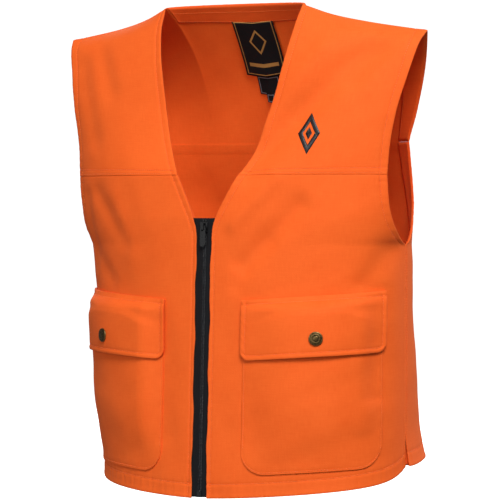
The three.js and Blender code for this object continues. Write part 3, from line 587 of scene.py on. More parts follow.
# ---------------------------------------------------------------------------- smooth surfaces
class Surface:
    """A smooth outer face of the vest, read at two coordinates, with its normals and folds."""

    step: tuple[float, float] = (1.0, 1.0)
    back = False

    def point(self, a: Array, b: Array) -> Array:
        """Points of the smooth face."""
        raise NotImplementedError

    def normal(self, a: Array, b: Array) -> Array:
        """Outward normals of the smooth face.

        Args:
            a: first coordinates.
            b: second coordinates.

        Returns:
            The normals.
        """
        da, db = self.step
        along = self.point(a + da, b) - self.point(a - da, b)
        up = self.point(a, b + db) - self.point(a, b - db)
        n = unit(np.cross(along, up))
        p = self.point(a, b)
        outward = vec(p[..., 0], p[..., 1], np.maximum(0, p[..., 2] - 0.76 * SHELL.neck_z))
        return np.where((n * outward).sum(-1, keepdims=True) < 0, -n, n)

    def place(self, a: Array, b: Array, lift: Any = 0.0) -> Array:
        """Points at a lift off the folded face.

        Args:
            a: first coordinate.
            b: second coordinate.
            lift: height along the outward normal in millimetres.

        Returns:
            The points.
        """
        a, b = np.broadcast_arrays(np.asarray(a, float), np.asarray(b, float))
        p = self.point(a, b)
        height = np.asarray(lift) + folds(p, self.back)
        return p + self.normal(a, b) * np.broadcast_to(height, a.shape)[..., None]


class FrontSurface(Surface):
    """One half of the front below the yoke, read at length from centre front and height."""

    def __init__(self, side: Side) -> None:
        """Keeps the side."""
        self.side = side

    def point(self, s: Array, z: Array) -> Array:
        """Points of the smooth face."""
        s = np.maximum(s, 0)
        return SECTIONS.at(self.side, s, z)


class BackSurface(Surface):
    """The back below the yoke, read at a signed share of its half width and height."""

    step = (0.004, 1.0)
    back = True

    def point(self, u: Array, z: Array) -> Array:
        """Points of the smooth face.

        Args:
            u: signed shares of the half width.
            z: heights.

        Returns:
            The points.
        """
        u, z = np.broadcast_arrays(np.asarray(u, float), np.asarray(z, float))
        share = np.clip(np.abs(u), 0, 1)
        left, right = (
            SECTIONS.at(side, share * SECTIONS.edge(side, z, True), z, True) for side in Side
        )
        return np.where((u < 0)[..., None], right, left)


def shares_between(start: Array, end: Array, shares: Sequence[Sequence[float]]) -> Array:
    """Two ends and the points between them, given as shares of the way in x, y and z."""
    middle = [start + (end - start) * np.array(s) for s in shares]
    return np.array([start, *middle, end])


SHOULDER = through(shares_between(
    np.array([SHELL.neck_half, SHELL.neck_y, SHELL.neck_z]),
    np.array([SHELL.shoulder_half, SHELL.tip_y, SHELL.tip_z]),
    [(0.22, 0.37, 0.36), (0.5, 0.76, 0.64)],
))


def shoulder_height(x: Array) -> Array:
    """Height of the shoulder seam above or below each x, and of its neck end further in."""
    line = SHOULDER(np.linspace(0, 1, 80))
    return np.interp(np.abs(x), line[:, 0], line[:, 2])


def seam_normal(normals: Array, x: Array, v: Array) -> Array:
    """Normals turned towards the shoulder seam's shared normal as v nears 1."""
    shared = unit(vec(0.2 * np.sign(x), np.zeros_like(x), np.ones_like(x)))
    return unit(lerp(normals, shared, smooth((v - 0.86) / 0.14)[..., None]))


class FrontYokeSurface(Surface):
    """One front yoke, read at shares from the neck to the armhole and from its seam to the shoulder."""

    step = (0.01, 0.01)
    length = 225.0  # from its lower seam to the shoulder seam

    def __init__(self, side: Side) -> None:
        """Works out the neck and armhole edges.

        Args:
            side: left or right.
        """
        self.side = side
        self.foot = (opening(SHELL.front_yoke_z), SECTIONS.edge(side, SHELL.front_yoke_z))
        ends = self._low(np.array([0.0, 1.0]))
        self.neck_edge = through(shares_between(ends[0], SHOULDER(0.0), [
            (0.3, 0.24, 0.15), (0.58, 0.43, 0.38), (0.8, 0.56, 0.66), (0.95, 0.77, 0.88),
        ]))
        self.arm_edge = through(shares_between(ends[1], SHOULDER(1.0), [
            (0.1, 0.06, 0.25), (0.3, 0.14, 0.46), (0.54, 0.32, 0.65), (0.87, 0.7, 0.92),
        ]))

    def _low(self, u: Array) -> Array:
        """Points of the lower seam, on the left."""
        s = lerp(self.foot[0], self.foot[1], np.clip(u, 0, 1))
        p = SECTIONS.at(self.side, s, np.full_like(s, SHELL.front_yoke_z))
        return vec(np.abs(p[..., 0]), p[..., 1], SHELL.front_yoke_z + CLOTH.seam_gap)

    def point(self, u: Array, v: Array) -> Array:
        """Points of the smooth face.

        Args:
            u: shares from the neck edge to the armhole edge.
            v: shares of the yoke's height.

        Returns:
            The points.
        """
        u, v = np.broadcast_arrays(np.clip(u, 0, 1), v)
        below = np.minimum(v, 0) * self.length
        v = np.clip(v, 0, 1)
        w = u[..., None]
        p = lerp(self.neck_edge(v), self.arm_edge(v), w)
        ends = self._low(np.array([0.0, 1.0]))
        low = self._low(u) - lerp(ends[0], ends[1], w)
        high = SHOULDER(u) - lerp(SHOULDER(0.0), SHOULDER(1.0), w)
        p = p + low * (1 - 0.75 * v ** 2 - 0.25 * v ** 8)[..., None] + high * (v ** 3)[..., None]
        p = p + below[..., None] * np.array([0, 0, 1])
        return p * np.array([self.side.mirror, 1, 1])

    def normal(self, u: Array, v: Array) -> Array:
        """Outward normals, shared along the shoulder seam."""
        return seam_normal(super().normal(u, v), np.full(np.shape(u), float(self.side.mirror)), v)

    def width(self, v: Array) -> Array:
        """Distance from the neck edge to the armhole edge."""
        return np.linalg.norm(self.arm_edge(v) - self.neck_edge(v), axis=-1)


class SideSeamSurface(Surface):
    """A side seam, read at length across it, from the front to the back, and height."""

    def __init__(self, side: Side) -> None:
        """Keeps the side."""
        self.side = side

    def point(self, across: Array, z: Array) -> Array:
        """Points of the smooth face.

        Args:
            across: lengths across the seam, towards the back.
            z: heights.

        Returns:
            The points.
        """
        across, z = np.broadcast_arrays(np.asarray(across, float), np.asarray(z, float))
        front = SECTIONS.at(self.side, SECTIONS.edge(self.side, z) + np.minimum(across, 0), z)
        back = SECTIONS.edge(self.side, z, True) - np.maximum(across, 0)
        return np.where((across < 0)[..., None], front, SECTIONS.at(self.side, back, z, True))


class BackYokeSurface(Surface):
    """The back yoke, read at a signed share of its half width and a share of its height."""

    step = (0.006, 0.01)
    back = True
    length = 190.0  # from its lower seam to the shoulder seam

    def point(self, u: Array, v: Array) -> Array:
        """Points of the smooth face.

        Args:
            u: signed shares of the half width.
            v: shares of the yoke's height.

        Returns:
            The points.
        """
        k = SHELL
        u, v = np.broadcast_arrays(np.clip(u, -1, 1), v)
        below = np.minimum(v, 0) * self.length
        v = np.clip(v, 0, 1)
        share = np.abs(u)
        edge = SECTIONS.edge(Side.LEFT, k.back_yoke_z, True)
        foot = SECTIONS.at(Side.LEFT, share * edge, np.full_like(share, k.back_yoke_z), True)
        low = vec(foot[..., 0], foot[..., 1], k.back_yoke_z + CLOTH.seam_gap)
        t = share / k.neck_share
        quarter = math.pi / 2 * np.minimum(t, 1)
        neck = vec(
            k.neck_half * np.sin(quarter),
            lerp(k.neck_y, k.back_neck_y, np.cos(quarter)),
            lerp(k.back_neck_z, k.neck_z, np.minimum(t, 1) ** 2),
        )
        shoulder = SHOULDER((share - k.neck_share) / (1 - k.neck_share))
        top = np.where((share < k.neck_share)[..., None], neck, shoulder)
        roll = np.sin(math.pi * share)
        height = lerp(k.back_yoke_z, lerp(k.back_neck_z, k.tip_z, share), lerp(0.53, 0.66, share))
        depth = lerp(lerp(k.back_neck_y, k.back_depth[3], 0.72), 1.27 * k.back_armhole_y, share)
        middle = vec(
            lerp(low[..., 0], top[..., 0], lerp(0.5, 0.42, share)), depth + 10 * roll, height + 22 * roll,
        )
        w = v[..., None]
        p = lerp(lerp(low, middle, w), lerp(middle, top, w), w)
        return vec(np.where(u < 0, -1, 1) * p[..., 0], p[..., 1], p[..., 2] + below)

    def normal(self, u: Array, v: Array) -> Array:
        """Outward normals, shared along the shoulder seams.

        Args:
            u: signed shares of the half width.
            v: shares of the yoke's height.

        Returns:
            The normals.
        """
        plain = super().normal(u, v)
        turned = seam_normal(plain, np.asarray(u, float), v)
        beyond = (np.abs(u) >= SHELL.neck_share)[..., None]
        return np.where(beyond, turned, plain)


# ---------------------------------------------------------------------------- meshes
def to_metres(points: Array) -> Array:
    """Millimetres from the hem to metres in the row frame."""
    return (points - np.array([0, 0, SHELL.neck_z])) / 1000


def make_object(name: str, points: Array, faces: Sequence[Array], uv: Optional[Array] = None) -> Any:
    """Makes a mesh object with smooth faces.

    Args:
        name: name of the piece.
        points: vertices in millimetres.
        faces: arrays of vertex numbers, one array for each corner count.
        uv: two coordinates in metres for each vertex, or None.

    Returns:
        The object, linked to the scene.
    """
    mesh = bpy.data.meshes.new(name)
    faces = [np.asarray(f, np.int32) for f in faces if len(f)]
    corners = np.concatenate([f.ravel() for f in faces])
    counts = np.concatenate([np.full(len(f), f.shape[1], np.int32) for f in faces])
    mesh.vertices.add(len(points))
    mesh.vertices.foreach_set("co", to_metres(points).astype(np.float32).ravel())
    mesh.loops.add(len(corners))
    mesh.loops.foreach_set("vertex_index", corners)
    mesh.polygons.add(len(counts))
    starts = np.concatenate([[0], np.cumsum(counts)[:-1]]).astype(np.int32)
    mesh.polygons.foreach_set("loop_start", starts)
    mesh.polygons.foreach_set("loop_total", counts)
    mesh.polygons.foreach_set("use_smooth", np.ones(len(counts), bool))
    if uv is not None:
        layer = mesh.uv_layers.new(name="Cloth")
        layer.data.foreach_set("uv", np.asarray(uv, np.float32)[corners].ravel())
    mesh.update(calc_edges=True)
    mesh.validate()
    obj = bpy.data.objects.new(name, mesh)
    bpy.context.scene.collection.objects.link(obj)
    return obj


def slab(name: str, outer: Array, inner: Array, uv: Array) -> Any:
    """A closed slab between two grids of points.

    Args:
        name: name of the piece.
        outer: outer grid, columns by rows.
        inner: inner grid of the same size.
        uv: cloth coordinates of the grid in millimetres.

    Returns:
        The object.
    """
    columns, rows = outer.shape[:2]
    layer = columns * rows
    ids = np.arange(layer).reshape(columns, rows)

    def quads(a: Array, b: Array, c: Array, d: Array) -> Array:
        """Four arrays of corners as faces."""
        return np.stack([a.ravel(), b.ravel(), c.ravel(), d.ravel()], axis=1)

    top = quads(ids[:-1, :-1], ids[1:, :-1], ids[1:, 1:], ids[:-1, 1:])
    under = top[:, ::-1] + layer
    ring = np.concatenate([ids[:-1, 0], ids[-1, :-1], ids[:0:-1, -1], ids[0, :0:-1]])
    after = np.roll(ring, -1)
    rim = np.stack([ring, ring + layer, after + layer, after], axis=1)
    points = np.concatenate([outer.reshape(-1, 3), inner.reshape(-1, 3)])
    faces = np.concatenate([top, under, rim])
    p = points[faces]
    volume = np.einsum("ij,ij->", p[:, 0], np.cross(p[:, 1], p[:, 2]) + np.cross(p[:, 2], p[:, 3]))
    if volume < 0:
        faces = faces[:, ::-1]
    flat_uv = np.tile(uv.reshape(-1, 2), (2, 1)) / 1000
    return make_object(name, points, [faces], flat_uv)


def tube_faces(rings: int, count: int) -> Array:
    """Faces between rings of points, one ring after another.

    Args:
        rings: number of rings.
        count: points in each ring.

    Returns:
        Vertex numbers, four a row.
    """
    k = np.arange(count)
    after = (k + 1) % count
    band = np.stack([k, after, count + after, count + k], axis=1)
    return (band[None] + count * np.arange(rings - 1)[:, None, None]).reshape(-1, 4)


def arc(points: Array, axis: int) -> float:
    """The longest arc of a grid along one of its directions, in millimetres."""
    return float(np.linalg.norm(np.diff(points, axis=axis), axis=-1).sum(axis=axis).max())


def area_of(points: Array) -> float:
    """Area of a grid in square millimetres."""
    a = points[1:, 1:] - points[:-1, :-1]
    b = points[:-1, 1:] - points[1:, :-1]
    return float(np.linalg.norm(np.cross(a, b), axis=-1).sum() / 2)


@dataclass(frozen=True)
class Ride:
    """What a piece moves with: one body, or two bodies and two heights for a blend that is kept but not
    applied.
    """

    body: str
    other: Optional[str] = None
    start: tuple[float, float, float] = (0.0, 0.0, 0.0)
    end: tuple[float, float, float] = (0.0, 0.0, 0.0)

    def apply(self, obj: Any) -> None:
        """Hangs a piece on its one body; where the ride is a blend, it only bakes the piece's transform
        and hangs it on nothing.

        Args:
            obj: the piece.
        """
        if self.other is None:
            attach(obj, self.body)
        else:
            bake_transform(obj)


def front_ride(side: Side) -> Ride:
    """The upper front's ride: a blend from the shell at the shoulders to the front half at the top of the
    zip, kept but not applied.
    """
    high = (0.0, 0.0, (SHELL.tip_z - SHELL.neck_z) / 1000)
    low = (0.0, 0.0, (SHELL.zip_top_z - SHELL.neck_z) / 1000)
    return Ride("shell", f"{side.value}_front", high, low)


def dress(obj: Any, finish: "Finish", ride: Ride, *nodes: str) -> Any:
    """Gives a piece its finish's material, applies its ride and hides what it replaces.

    Args:
        obj: the piece.
        finish: its finish.
        ride: what it moves with.
        nodes: CAD nodes that it stands for.

    Returns:
        The piece.
    """
    obj.data.materials.append(finish.material())
    ride.apply(obj)
    if nodes:
        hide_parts(*nodes)
    LOG.info("%s: %d vertices, %s", obj.name, len(obj.data.vertices), finish.slot)
    return obj


def cloth_piece(
    name: str, surface: Surface, a: Array, b: Array, outer: Any, thick: Any, finish: "Finish",
    ride: Ride, nodes: Sequence[str] = (),
    uv: Optional[Array] = None, relief: Any = 0.0,
) -> Any:
    """Makes and dresses one sheet of cloth on a surface, and logs its cut.

    Args:
        name: name of the piece.
        surface: the face that it follows.
        a: first coordinates of its grid.
        b: second coordinates of its grid.
        outer: lift of its outer face.
        thick: thickness.
        finish: its finish.
        ride: what it moves with.
        nodes: CAD nodes that it stands for.
        uv: cloth coordinates in millimetres, or None for arc lengths of the grid.
        relief: extra height of the outer face only.

    Returns:
        The object.
    """
    a, b = np.broadcast_arrays(np.asarray(a, float), np.asarray(b, float))
    base = surface.point(a, b)
    if uv is None:
        across = np.linalg.norm(np.diff(base, axis=0), axis=-1).cumsum(axis=0)
        up = np.linalg.norm(np.diff(base, axis=1), axis=-1).cumsum(axis=1)
        middle = base.shape[0] // 2
        x = np.concatenate([np.zeros((1, base.shape[1])), across])
        y = np.concatenate([np.zeros((base.shape[0], 1)), up], axis=1)
        uv = np.stack([x - x[middle][None, :], y], axis=-1)
    obj = slab(name, surface.place(a, b, outer + relief), surface.place(a, b, outer - thick), uv)
    dress(obj, finish, ride, *nodes)
    width, length, area = arc(base, 0), arc(base, 1), area_of(base)
    area = min(area, width * length)
    LOG.info("%s: cut %.0f x %.0f mm, %.4f square metres", name, width, length, area / 1e6)
    return obj


def stitch_run(path: Array, normals: Array, pitch: float, size: tuple[float, float, float]) -> tuple:
    """Lays stitches along a line.

    Args:
        path: points of the line.
        normals: outward normals there.
        pitch: distance from one stitch to the next.
        size: length, width and height of a stitch.

    Returns:
        Vertices and triangles.
    """
    steps = np.linalg.norm(np.diff(path, axis=0), axis=1)
    along = np.concatenate([[0], steps.cumsum()])
    count = max(1, int(along[-1] / pitch))
    centres = (np.arange(count) + 0.5) * along[-1] / count

    def read(values: Array, at: Array) -> Array:
        """Values along the line at given lengths."""
        return np.stack([np.interp(at, along, values[:, i]) for i in range(3)], axis=1)

    length, width, height = size
    middle = read(path, centres)
    heading = unit(read(path, centres + 0.4) - read(path, centres - 0.4))
    up = unit(read(normals, centres))
    across = np.cross(up, heading)
    ring = [(0.0, 1.0), (1.0, 0.1), (0.0, -0.6), (-1.0, 0.1)]
    corners = [(-0.5, 0.0, -0.4)]
    corners += [(end, x * 0.5, y) for end in (-0.3, 0.3) for x, y in ring]
    corners += [(0.5, 0.0, -0.4)]
    vertices = [
        middle + heading * (t * length) + across * (x * width) + up * (y * height) for t, x, y in corners
    ]
    faces = []
    for k in range(4):
        n = (k + 1) % 4
        faces += [(0, 1 + n, 1 + k), (1 + k, 1 + n, 5 + n), (1 + k, 5 + n, 5 + k), (9, 5 + k, 5 + n)]
    points = np.stack(vertices, axis=1).reshape(-1, 3)
    triangles = np.array(faces)[None] + 10 * np.arange(count)[:, None, None]
    return points, triangles.reshape(-1, 3)


@dataclass
class Stitching:
    """All the topstitching on one part, gathered into one piece."""

    name: str
    finish: "Finish"
    ride: Ride
    pitch: float = 3.4  # real pitch 2.8 mm, opened so that single stitches still show
    size: tuple[float, float, float] = (2.5, 0.75, 0.42)
    points: list = field(default_factory=list)
    faces: list = field(default_factory=list)

    def add(self, surface: Surface, a: Array, b: Array, lift: Any) -> None:
        """Adds a run along a line of a surface, at a lift."""
        a, b = np.broadcast_arrays(np.asarray(a, float), np.asarray(b, float))
        self.add_line(surface.place(a, b, lift), surface.normal(a, b))

    def add_line(self, path: Array, normals: Array) -> None:
        """Adds a run along points with normals."""
        points, faces = stitch_run(path, normals, self.pitch, self.size)
        self.faces.append(faces + sum(len(p) for p in self.points))
        self.points.append(points)

    def make(self) -> Any:
        """Makes the piece."""
        obj = make_object(self.name, np.concatenate(self.points), [np.concatenate(self.faces)])
        return dress(obj, self.finish, self.ride)


# ---------------------------------------------------------------------------- finishes
def linear(code: str, alpha: float = 1.0) -> tuple[float, float, float, float]:
    """An sRGB hex value as linear red, green, blue and alpha."""
    parts = [int(code.lstrip("#")[i:i + 2], 16) / 255 for i in (0, 2, 4)]
    red, green, blue = (c / 12.92 if c <= 0.04045 else ((c + 0.055) / 1.055) ** 2.4 for c in parts)
    return red, green, blue, alpha


def add_node(tree: Any, kind: str, settings: dict[str, Any], inputs: dict[Any, Any]) -> Any:
    """Adds a node with its settings and links.

    Args:
        tree: node tree.
        kind: node type without its prefix.
        settings: attributes to set on the node.
        inputs: values or output sockets by input name or number.

    Returns:
        The node.
    """
    node = tree.nodes.new("ShaderNode" + kind)
    for key, value in settings.items():
        setattr(node, key, value)
    for key, value in inputs.items():
        if isinstance(value, bpy.types.NodeSocket):
            tree.links.new(value, node.inputs[key])
        else:
            node.inputs[key].default_value = value
    return node


def ramp(tree: Any, factor: Any, stops: Sequence[tuple[float, tuple]]) -> Any:
    """A colour ramp's output over a factor, from (position, colour) stops.

    Args:
        tree: node tree.
        factor: socket that picks the place on the ramp.
        stops: positions and their colours.

    Returns:
        The colour output.
    """
    node = add_node(tree, "ValToRGB", {}, {"Fac": factor})
    while len(node.color_ramp.elements) < len(stops):
        node.color_ramp.elements.new(0.5)
    for element, (position, colour) in zip(node.color_ramp.elements, stops):
        element.position = position
        element.color = colour
    return node.outputs["Color"]


def math_node(tree: Any, operation: str, *values: Any) -> Any:
    """The result of one sum over values or sockets."""
    return add_node(tree, "Math", {"operation": operation}, dict(enumerate(values))).outputs[0]


def cloth_uv(tree: Any) -> Any:
    """The cloth's own coordinates in metres."""
    return add_node(tree, "UVMap", {"uv_map": "Cloth"}, {}).outputs["UV"]


def grain_of(tree: Any, scale: float, detail: float = 2.0) -> Any:
    """Fine noise over the object's own coordinates."""
    place = add_node(tree, "TexCoord", {}, {}).outputs["Object"]
    inputs = {"Vector": place, "Scale": scale, "Detail": detail}
    return add_node(tree, "TexNoise", {}, inputs).outputs["Fac"]


def bands(tree: Any, direction: str, spacing_mm: float, **inputs: float) -> Any:
    """Even bands over the cloth's coordinates; the pattern turns once in 0.314 units of its own.

    Args:
        tree: node tree.
        direction: axis that the bands cross.
        spacing_mm: distance between two bands.
        inputs: further inputs, such as distortion.

    Returns:
        The pattern's output.
    """
    settings = {"wave_type": "BANDS", "bands_direction": direction}
    wanted = {"Vector": cloth_uv(tree), "Scale": 314.2 / spacing_mm}
    wanted |= {key.replace("_", " ").title(): value for key, value in inputs.items()}
    return add_node(tree, "TexWave", settings, wanted).outputs["Fac"]


def spread(tree: Any, value: Any, low: float, high: float) -> Any:
    """A share between 0 and 1 spread between two values."""
    return add_node(tree, "MapRange", {}, {"Value": value, "To Min": low, "To Max": high}).outputs[0]


def bumped(tree: Any, height: Any, strength: float, distance: float) -> Any:
    """Normals raised by a pattern of heights, by a distance in metres."""
    inputs = {"Strength": strength, "Distance": distance, "Height": height}
    return add_node(tree, "Bump", {}, inputs).outputs["Normal"]


def principled(tree: Any, inputs: dict[str, Any]) -> Any:
    """The output of a principled shader."""
    return add_node(tree, "BsdfPrincipled", {}, inputs).outputs["BSDF"]


@dataclass(frozen=True)
class Finish:
    """A material of the vest, made once."""

    name: str
    slot: str

    def material(self) -> Any:
        """The Blender material."""
        made = bpy.data.materials.get(self.name)
        if made is None:
            made = bpy.data.materials.new(self.name)
            made.use_nodes = True
            made.node_tree.nodes.clear()
            shader = self.build(made.node_tree)
            add_node(made.node_tree, "OutputMaterial", {}, {"Surface": shader})
        return made

    def build(self, tree: Any) -> Any:
        """Adds the nodes and returns the shader's output."""
        raise NotImplementedError


@dataclass(frozen=True)
class PolyesterTwill(Finish):
    """Polyester twill, woven, dyed blaze orange and calendered: an even matt face with a soft bloom,
    a fine diagonal line and faint unevenness of the dye. Deeper, redder colours, as on the facings,
    are painted shade."""

    light: str = "#f4661e"
    deep: str = "#ee5c14"
    twill_mm: float = 2.1  # real lines stand 0.7 mm apart, drawn three times as coarse
    bump_mm: float = 0.16
    roughness: float = 0.78
    sheen: float = 0.12

    def build(self, tree: Any) -> Any:
        """Adds the nodes and returns the shader's output.

        Args:
            tree: node tree.

        Returns:
            The shader's output.
        """
        uv = cloth_uv(tree)
        # A diagonal band comes round twice as often as a straight one.
        turn = self.twill_mm * 314.2 / 628.3
        lines = bands(tree, "DIAGONAL", turn, distortion=1.6, detail=2.0, detail_scale=2.5)
        slub = add_node(tree, "TexNoise", {}, {
            "Vector": uv, "Scale": 420.0, "Detail": 3.0, "Roughness": 0.6,
        }).outputs["Fac"]
        cloud = add_node(tree, "TexNoise", {}, {
            "Vector": uv, "Scale": 14.0, "Detail": 3.0, "Roughness": 0.55,
        }).outputs["Fac"]
        # Thick and thin places in the warp and the weft, each about 1.4 mm across and 15 mm long.
        yarns = []
        for stretch in ((700.0, 66.0, 1.0), (60.0, 640.0, 1.0)):
            turned = add_node(tree, "Mapping", {}, {"Vector": uv, "Scale": stretch}).outputs["Vector"]
            yarn = add_node(tree, "TexNoise", {}, {"Vector": turned, "Scale": 1.0, "Detail": 1.5})
            yarns.append(yarn.outputs["Fac"])
        yarn = math_node(tree, "ADD", *yarns)
        soft = math_node(tree, "MULTIPLY", cloud, 0.4)
        tone = math_node(tree, "MULTIPLY_ADD", yarn, 0.45, soft)
        grain = math_node(tree, "MULTIPLY_ADD", yarn, 1.1, slub)
        height = math_node(tree, "MULTIPLY_ADD", lines, 0.8, grain)
        return principled(tree, {
            "Base Color": ramp(tree, tone, [(0.45, linear(self.deep)), (0.85, linear(self.light))]),
            "Normal": bumped(tree, height, 0.5, self.bump_mm / 1000),
            "Roughness": self.roughness, "Sheen Weight": self.sheen, "Sheen Roughness": 0.45,
            "Sheen Tint": linear("#ffb27a"), "Specular IOR Level": 0.28,
        })


@dataclass(frozen=True)
class SewingThread(Finish):
    """Spun polyester sewing thread, twisted and dyed: slightly brighter than the cloth, with a soft
    gleam along each stitch."""

    colour: str = "#ff7d2e"
    roughness: float = 0.55

    def build(self, tree: Any) -> Any:
        """Adds the nodes and returns the shader's output."""
        twist = grain_of(tree, 900.0, 1.0)
        tone = ramp(tree, twist, [(0.3, linear("#e85f16")), (0.7, linear(self.colour))])
        return principled(tree, {"Base Color": tone, "Roughness": self.roughness, "Sheen Weight": 0.1})


@dataclass(frozen=True)
class SatinThread(Finish):
    """Rayon embroidery thread laid in satin stitch: black, with silky lines along each stitch."""

    spacing_mm: float = 1.5  # threads lie 0.4 mm apart, drawn coarser
    dark: str = "#0c0d11"
    light: str = "#17181c"

    def build(self, tree: Any) -> Any:
        """Adds the nodes and returns the shader's output.

        Args:
            tree: node tree.

        Returns:
            The shader's output.
        """
        lines = bands(tree, "X", self.spacing_mm, distortion=0.8, detail=1.0)
        return principled(tree, {
            "Base Color": ramp(tree, lines, [(0.2, linear(self.dark)), (0.9, linear(self.light))]),
            "Normal": bumped(tree, lines, 0.6, 0.0003), "Roughness": 0.36,
        })


@dataclass(frozen=True)
class WovenLabel(Finish):
    """Damask label cloth, woven black with a plain border and plain bars in a tan weft: matt, with
    fine ribs across. It carries no lettering."""

    width: float = 0.06
    length: float = 0.084
    border: float = 0.003
    motif: bool = True
    base: str = "#08090b"
    weft: str = "#a5793f"
    rib_mm: float = 1.2

    def build(self, tree: Any) -> Any:
        """Adds the nodes and returns the shader's output.

        Args:
            tree: node tree.

        Returns:
            The shader's output.
        """
        parts = add_node(tree, "SeparateXYZ", {}, {"Vector": cloth_uv(tree)}).outputs
        x = math_node(tree, "ABSOLUTE", parts["X"])
        y = math_node(tree, "ABSOLUTE", math_node(tree, "SUBTRACT", parts["Y"], self.length / 2))
        sides = [
            math_node(tree, "SUBTRACT", half, from_middle)
            for half, from_middle in ((self.width / 2, x), (self.length / 2, y))
        ]
        edge = math_node(tree, "MINIMUM", *sides)
        line = math_node(tree, "COMPARE", edge, self.border, 0.0006)
        if self.motif:
            up = math_node(tree, "ABSOLUTE", math_node(tree, "SUBTRACT", parts["Y"], 0.62 * self.length))
            lozenge = math_node(tree, "ADD", math_node(tree, "MULTIPLY", x, 1.5), up)
            ring = math_node(tree, "COMPARE", lozenge, 0.0165, 0.0022)
            bar = math_node(tree, "COMPARE", parts["Y"], 0.2 * self.length, 0.0026)
            short = math_node(tree, "LESS_THAN", x, 0.36 * self.width)
            line = math_node(tree, "MAXIMUM", line, ring)
            line = math_node(tree, "MAXIMUM", line, math_node(tree, "MULTIPLY", bar, short))
        ribs = bands(tree, "Y", self.rib_mm, distortion=0.3)
        ground = ramp(tree, ribs, [(0.1, linear(self.base)), (0.9, linear("#101114"))])
        colour = add_node(tree, "Mix", {"data_type": "RGBA"}, {
            "Factor": line, 6: ground, 7: linear(self.weft),
        }).outputs[2]
        return principled(tree, {
            "Base Color": colour, "Normal": bumped(tree, ribs, 0.4, 0.0002), "Roughness": 0.7,
            "Specular IOR Level": 0.2,
        })


@dataclass(frozen=True)
class ZipTape(Finish):
    """Polyester zip tape, woven in a close herringbone and dyed black: matt, with fine ribs."""

    rib_mm: float = 1.6

    def build(self, tree: Any) -> Any:
        """Adds the nodes and returns the shader's output.

        Args:
            tree: node tree.

        Returns:
            The shader's output.
        """
        ribs = bands(tree, "X", self.rib_mm, distortion=0.6)
        return principled(tree, {
            "Base Color": ramp(tree, ribs, [(0.2, linear("#08080a")), (0.9, linear("#15161a"))]),
            "Normal": bumped(tree, ribs, 0.5, 0.0003), "Roughness": 0.85, "Specular IOR Level": 0.25,
        })


@dataclass(frozen=True)
class MouldedNylon(Finish):
    """Nylon, moulded and dyed black, for the zip's elements: smooth, with a waxy half gloss."""

    def build(self, tree: Any) -> Any:
        """Adds the nodes and returns the shader's output.

        Args:
            tree: node tree.

        Returns:
            The shader's output.
        """
        scuff = grain_of(tree, 260.0)
        tone = ramp(tree, scuff, [(0.3, linear("#131317")), (0.8, linear("#1d1e23"))])
        gloss = spread(tree, scuff, 0.28, 0.42)
        return principled(tree, {"Base Color": tone, "Roughness": gloss, "IOR": 1.53})


@dataclass(frozen=True)
class EnamelledZinc(Finish):
    """Zinc alloy, die cast and stove enamelled black, for the slider, pull, stops, pin and box: a
    smooth dark gloss with fine orange peel."""

    def build(self, tree: Any) -> Any:
        """Adds the nodes and returns the shader's output.

        Args:
            tree: node tree.

        Returns:
            The shader's output.
        """
        peel = grain_of(tree, 700.0)
        return principled(tree, {
            "Base Color": ramp(tree, peel, [(0.3, linear("#090a0b")), (0.8, linear("#111215"))]),
            "Normal": bumped(tree, peel, 0.25, 0.0001), "Roughness": spread(tree, peel, 0.2, 0.38),
            "Specular IOR Level": 0.35,
        })


@dataclass(frozen=True)
class AntiqueBrass(Finish):
    """Brass, pressed, blackened and relieved by tumbling: dull gold on the high spots, brown black
    in the hollows."""

    bright: str = "#94794c"
    dark: str = "#1c150e"

    def build(self, tree: Any) -> Any:
        """Adds the nodes and returns the shader's output.

        Args:
            tree: node tree.

        Returns:
            The shader's output.
        """
        high = add_node(tree, "NewGeometry", {}, {}).outputs["Pointiness"]
        grain = grain_of(tree, 500.0, 3.0)
        wear = math_node(tree, "MULTIPLY_ADD", grain, 0.16, high)
        tone = ramp(tree, wear, [(0.535, linear(self.dark)), (0.66, linear(self.bright))])
        gloss = spread(tree, grain, 0.3, 0.5)
        return principled(tree, {"Base Color": tone, "Metallic": 1.0, "Roughness": gloss})


@dataclass(frozen=True)
class PaintedBoard(Finish):
    """Board painted matt white, for the floor and the sweep behind: even and nearly shadowless."""

    colour: str = "#f4f3f1"
    glow: float = 0.8

    def build(self, tree: Any) -> Any:
        """Adds the nodes and returns the shader's output.

        Args:
            tree: node tree.

        Returns:
            The shader's output.
        """
        tone = ramp(tree, grain_of(tree, 3.0), [(0.2, linear("#efeeec")), (0.9, linear(self.colour))])
        return principled(tree, {
            "Base Color": tone, "Roughness": 0.9, "Emission Color": linear("#fdfdfd"),
            "Emission Strength": self.glow,
        })


TWILL = PolyesterTwill("twill_polyester_woven", "orange_twill")
# The facings and flap linings take a deeper, redder orange than the shell: painted shade for the dim
# inside of the vest and the underside of the flaps, not another dye.
SHADED_FACING = PolyesterTwill("facing_polyester_painted_shade", "orange_facing", light="#ee5c18", deep="#e4500e")
THREAD = SewingThread("sewing_thread_spun", "orange_twill")
SATIN = SatinThread("embroidery_thread_rayon", "embroidery")
LABEL = WovenLabel("label_damask_woven", "label_weave")
CARE = WovenLabel("care_label_damask_woven", "label_weave", 0.032, 0.026, 0.002, False, weft="#6f7075")
TAB = WovenLabel("size_tab_damask_woven", "label_weave", 0.011, 0.012, 0.0015, False, weft="#6f7075")
TAPE = ZipTape("zip_tape_polyester_woven", "zip_tape")
NYLON = MouldedNylon("zip_element_nylon_moulded", "zip_coil")
ZINC = EnamelledZinc("zip_zinc_cast_enamelled", "zip_metal")
BRASS = AntiqueBrass("snap_brass_pressed_antiqued", "snap_brass")
BOARD = PaintedBoard("board_painted_matt", "")


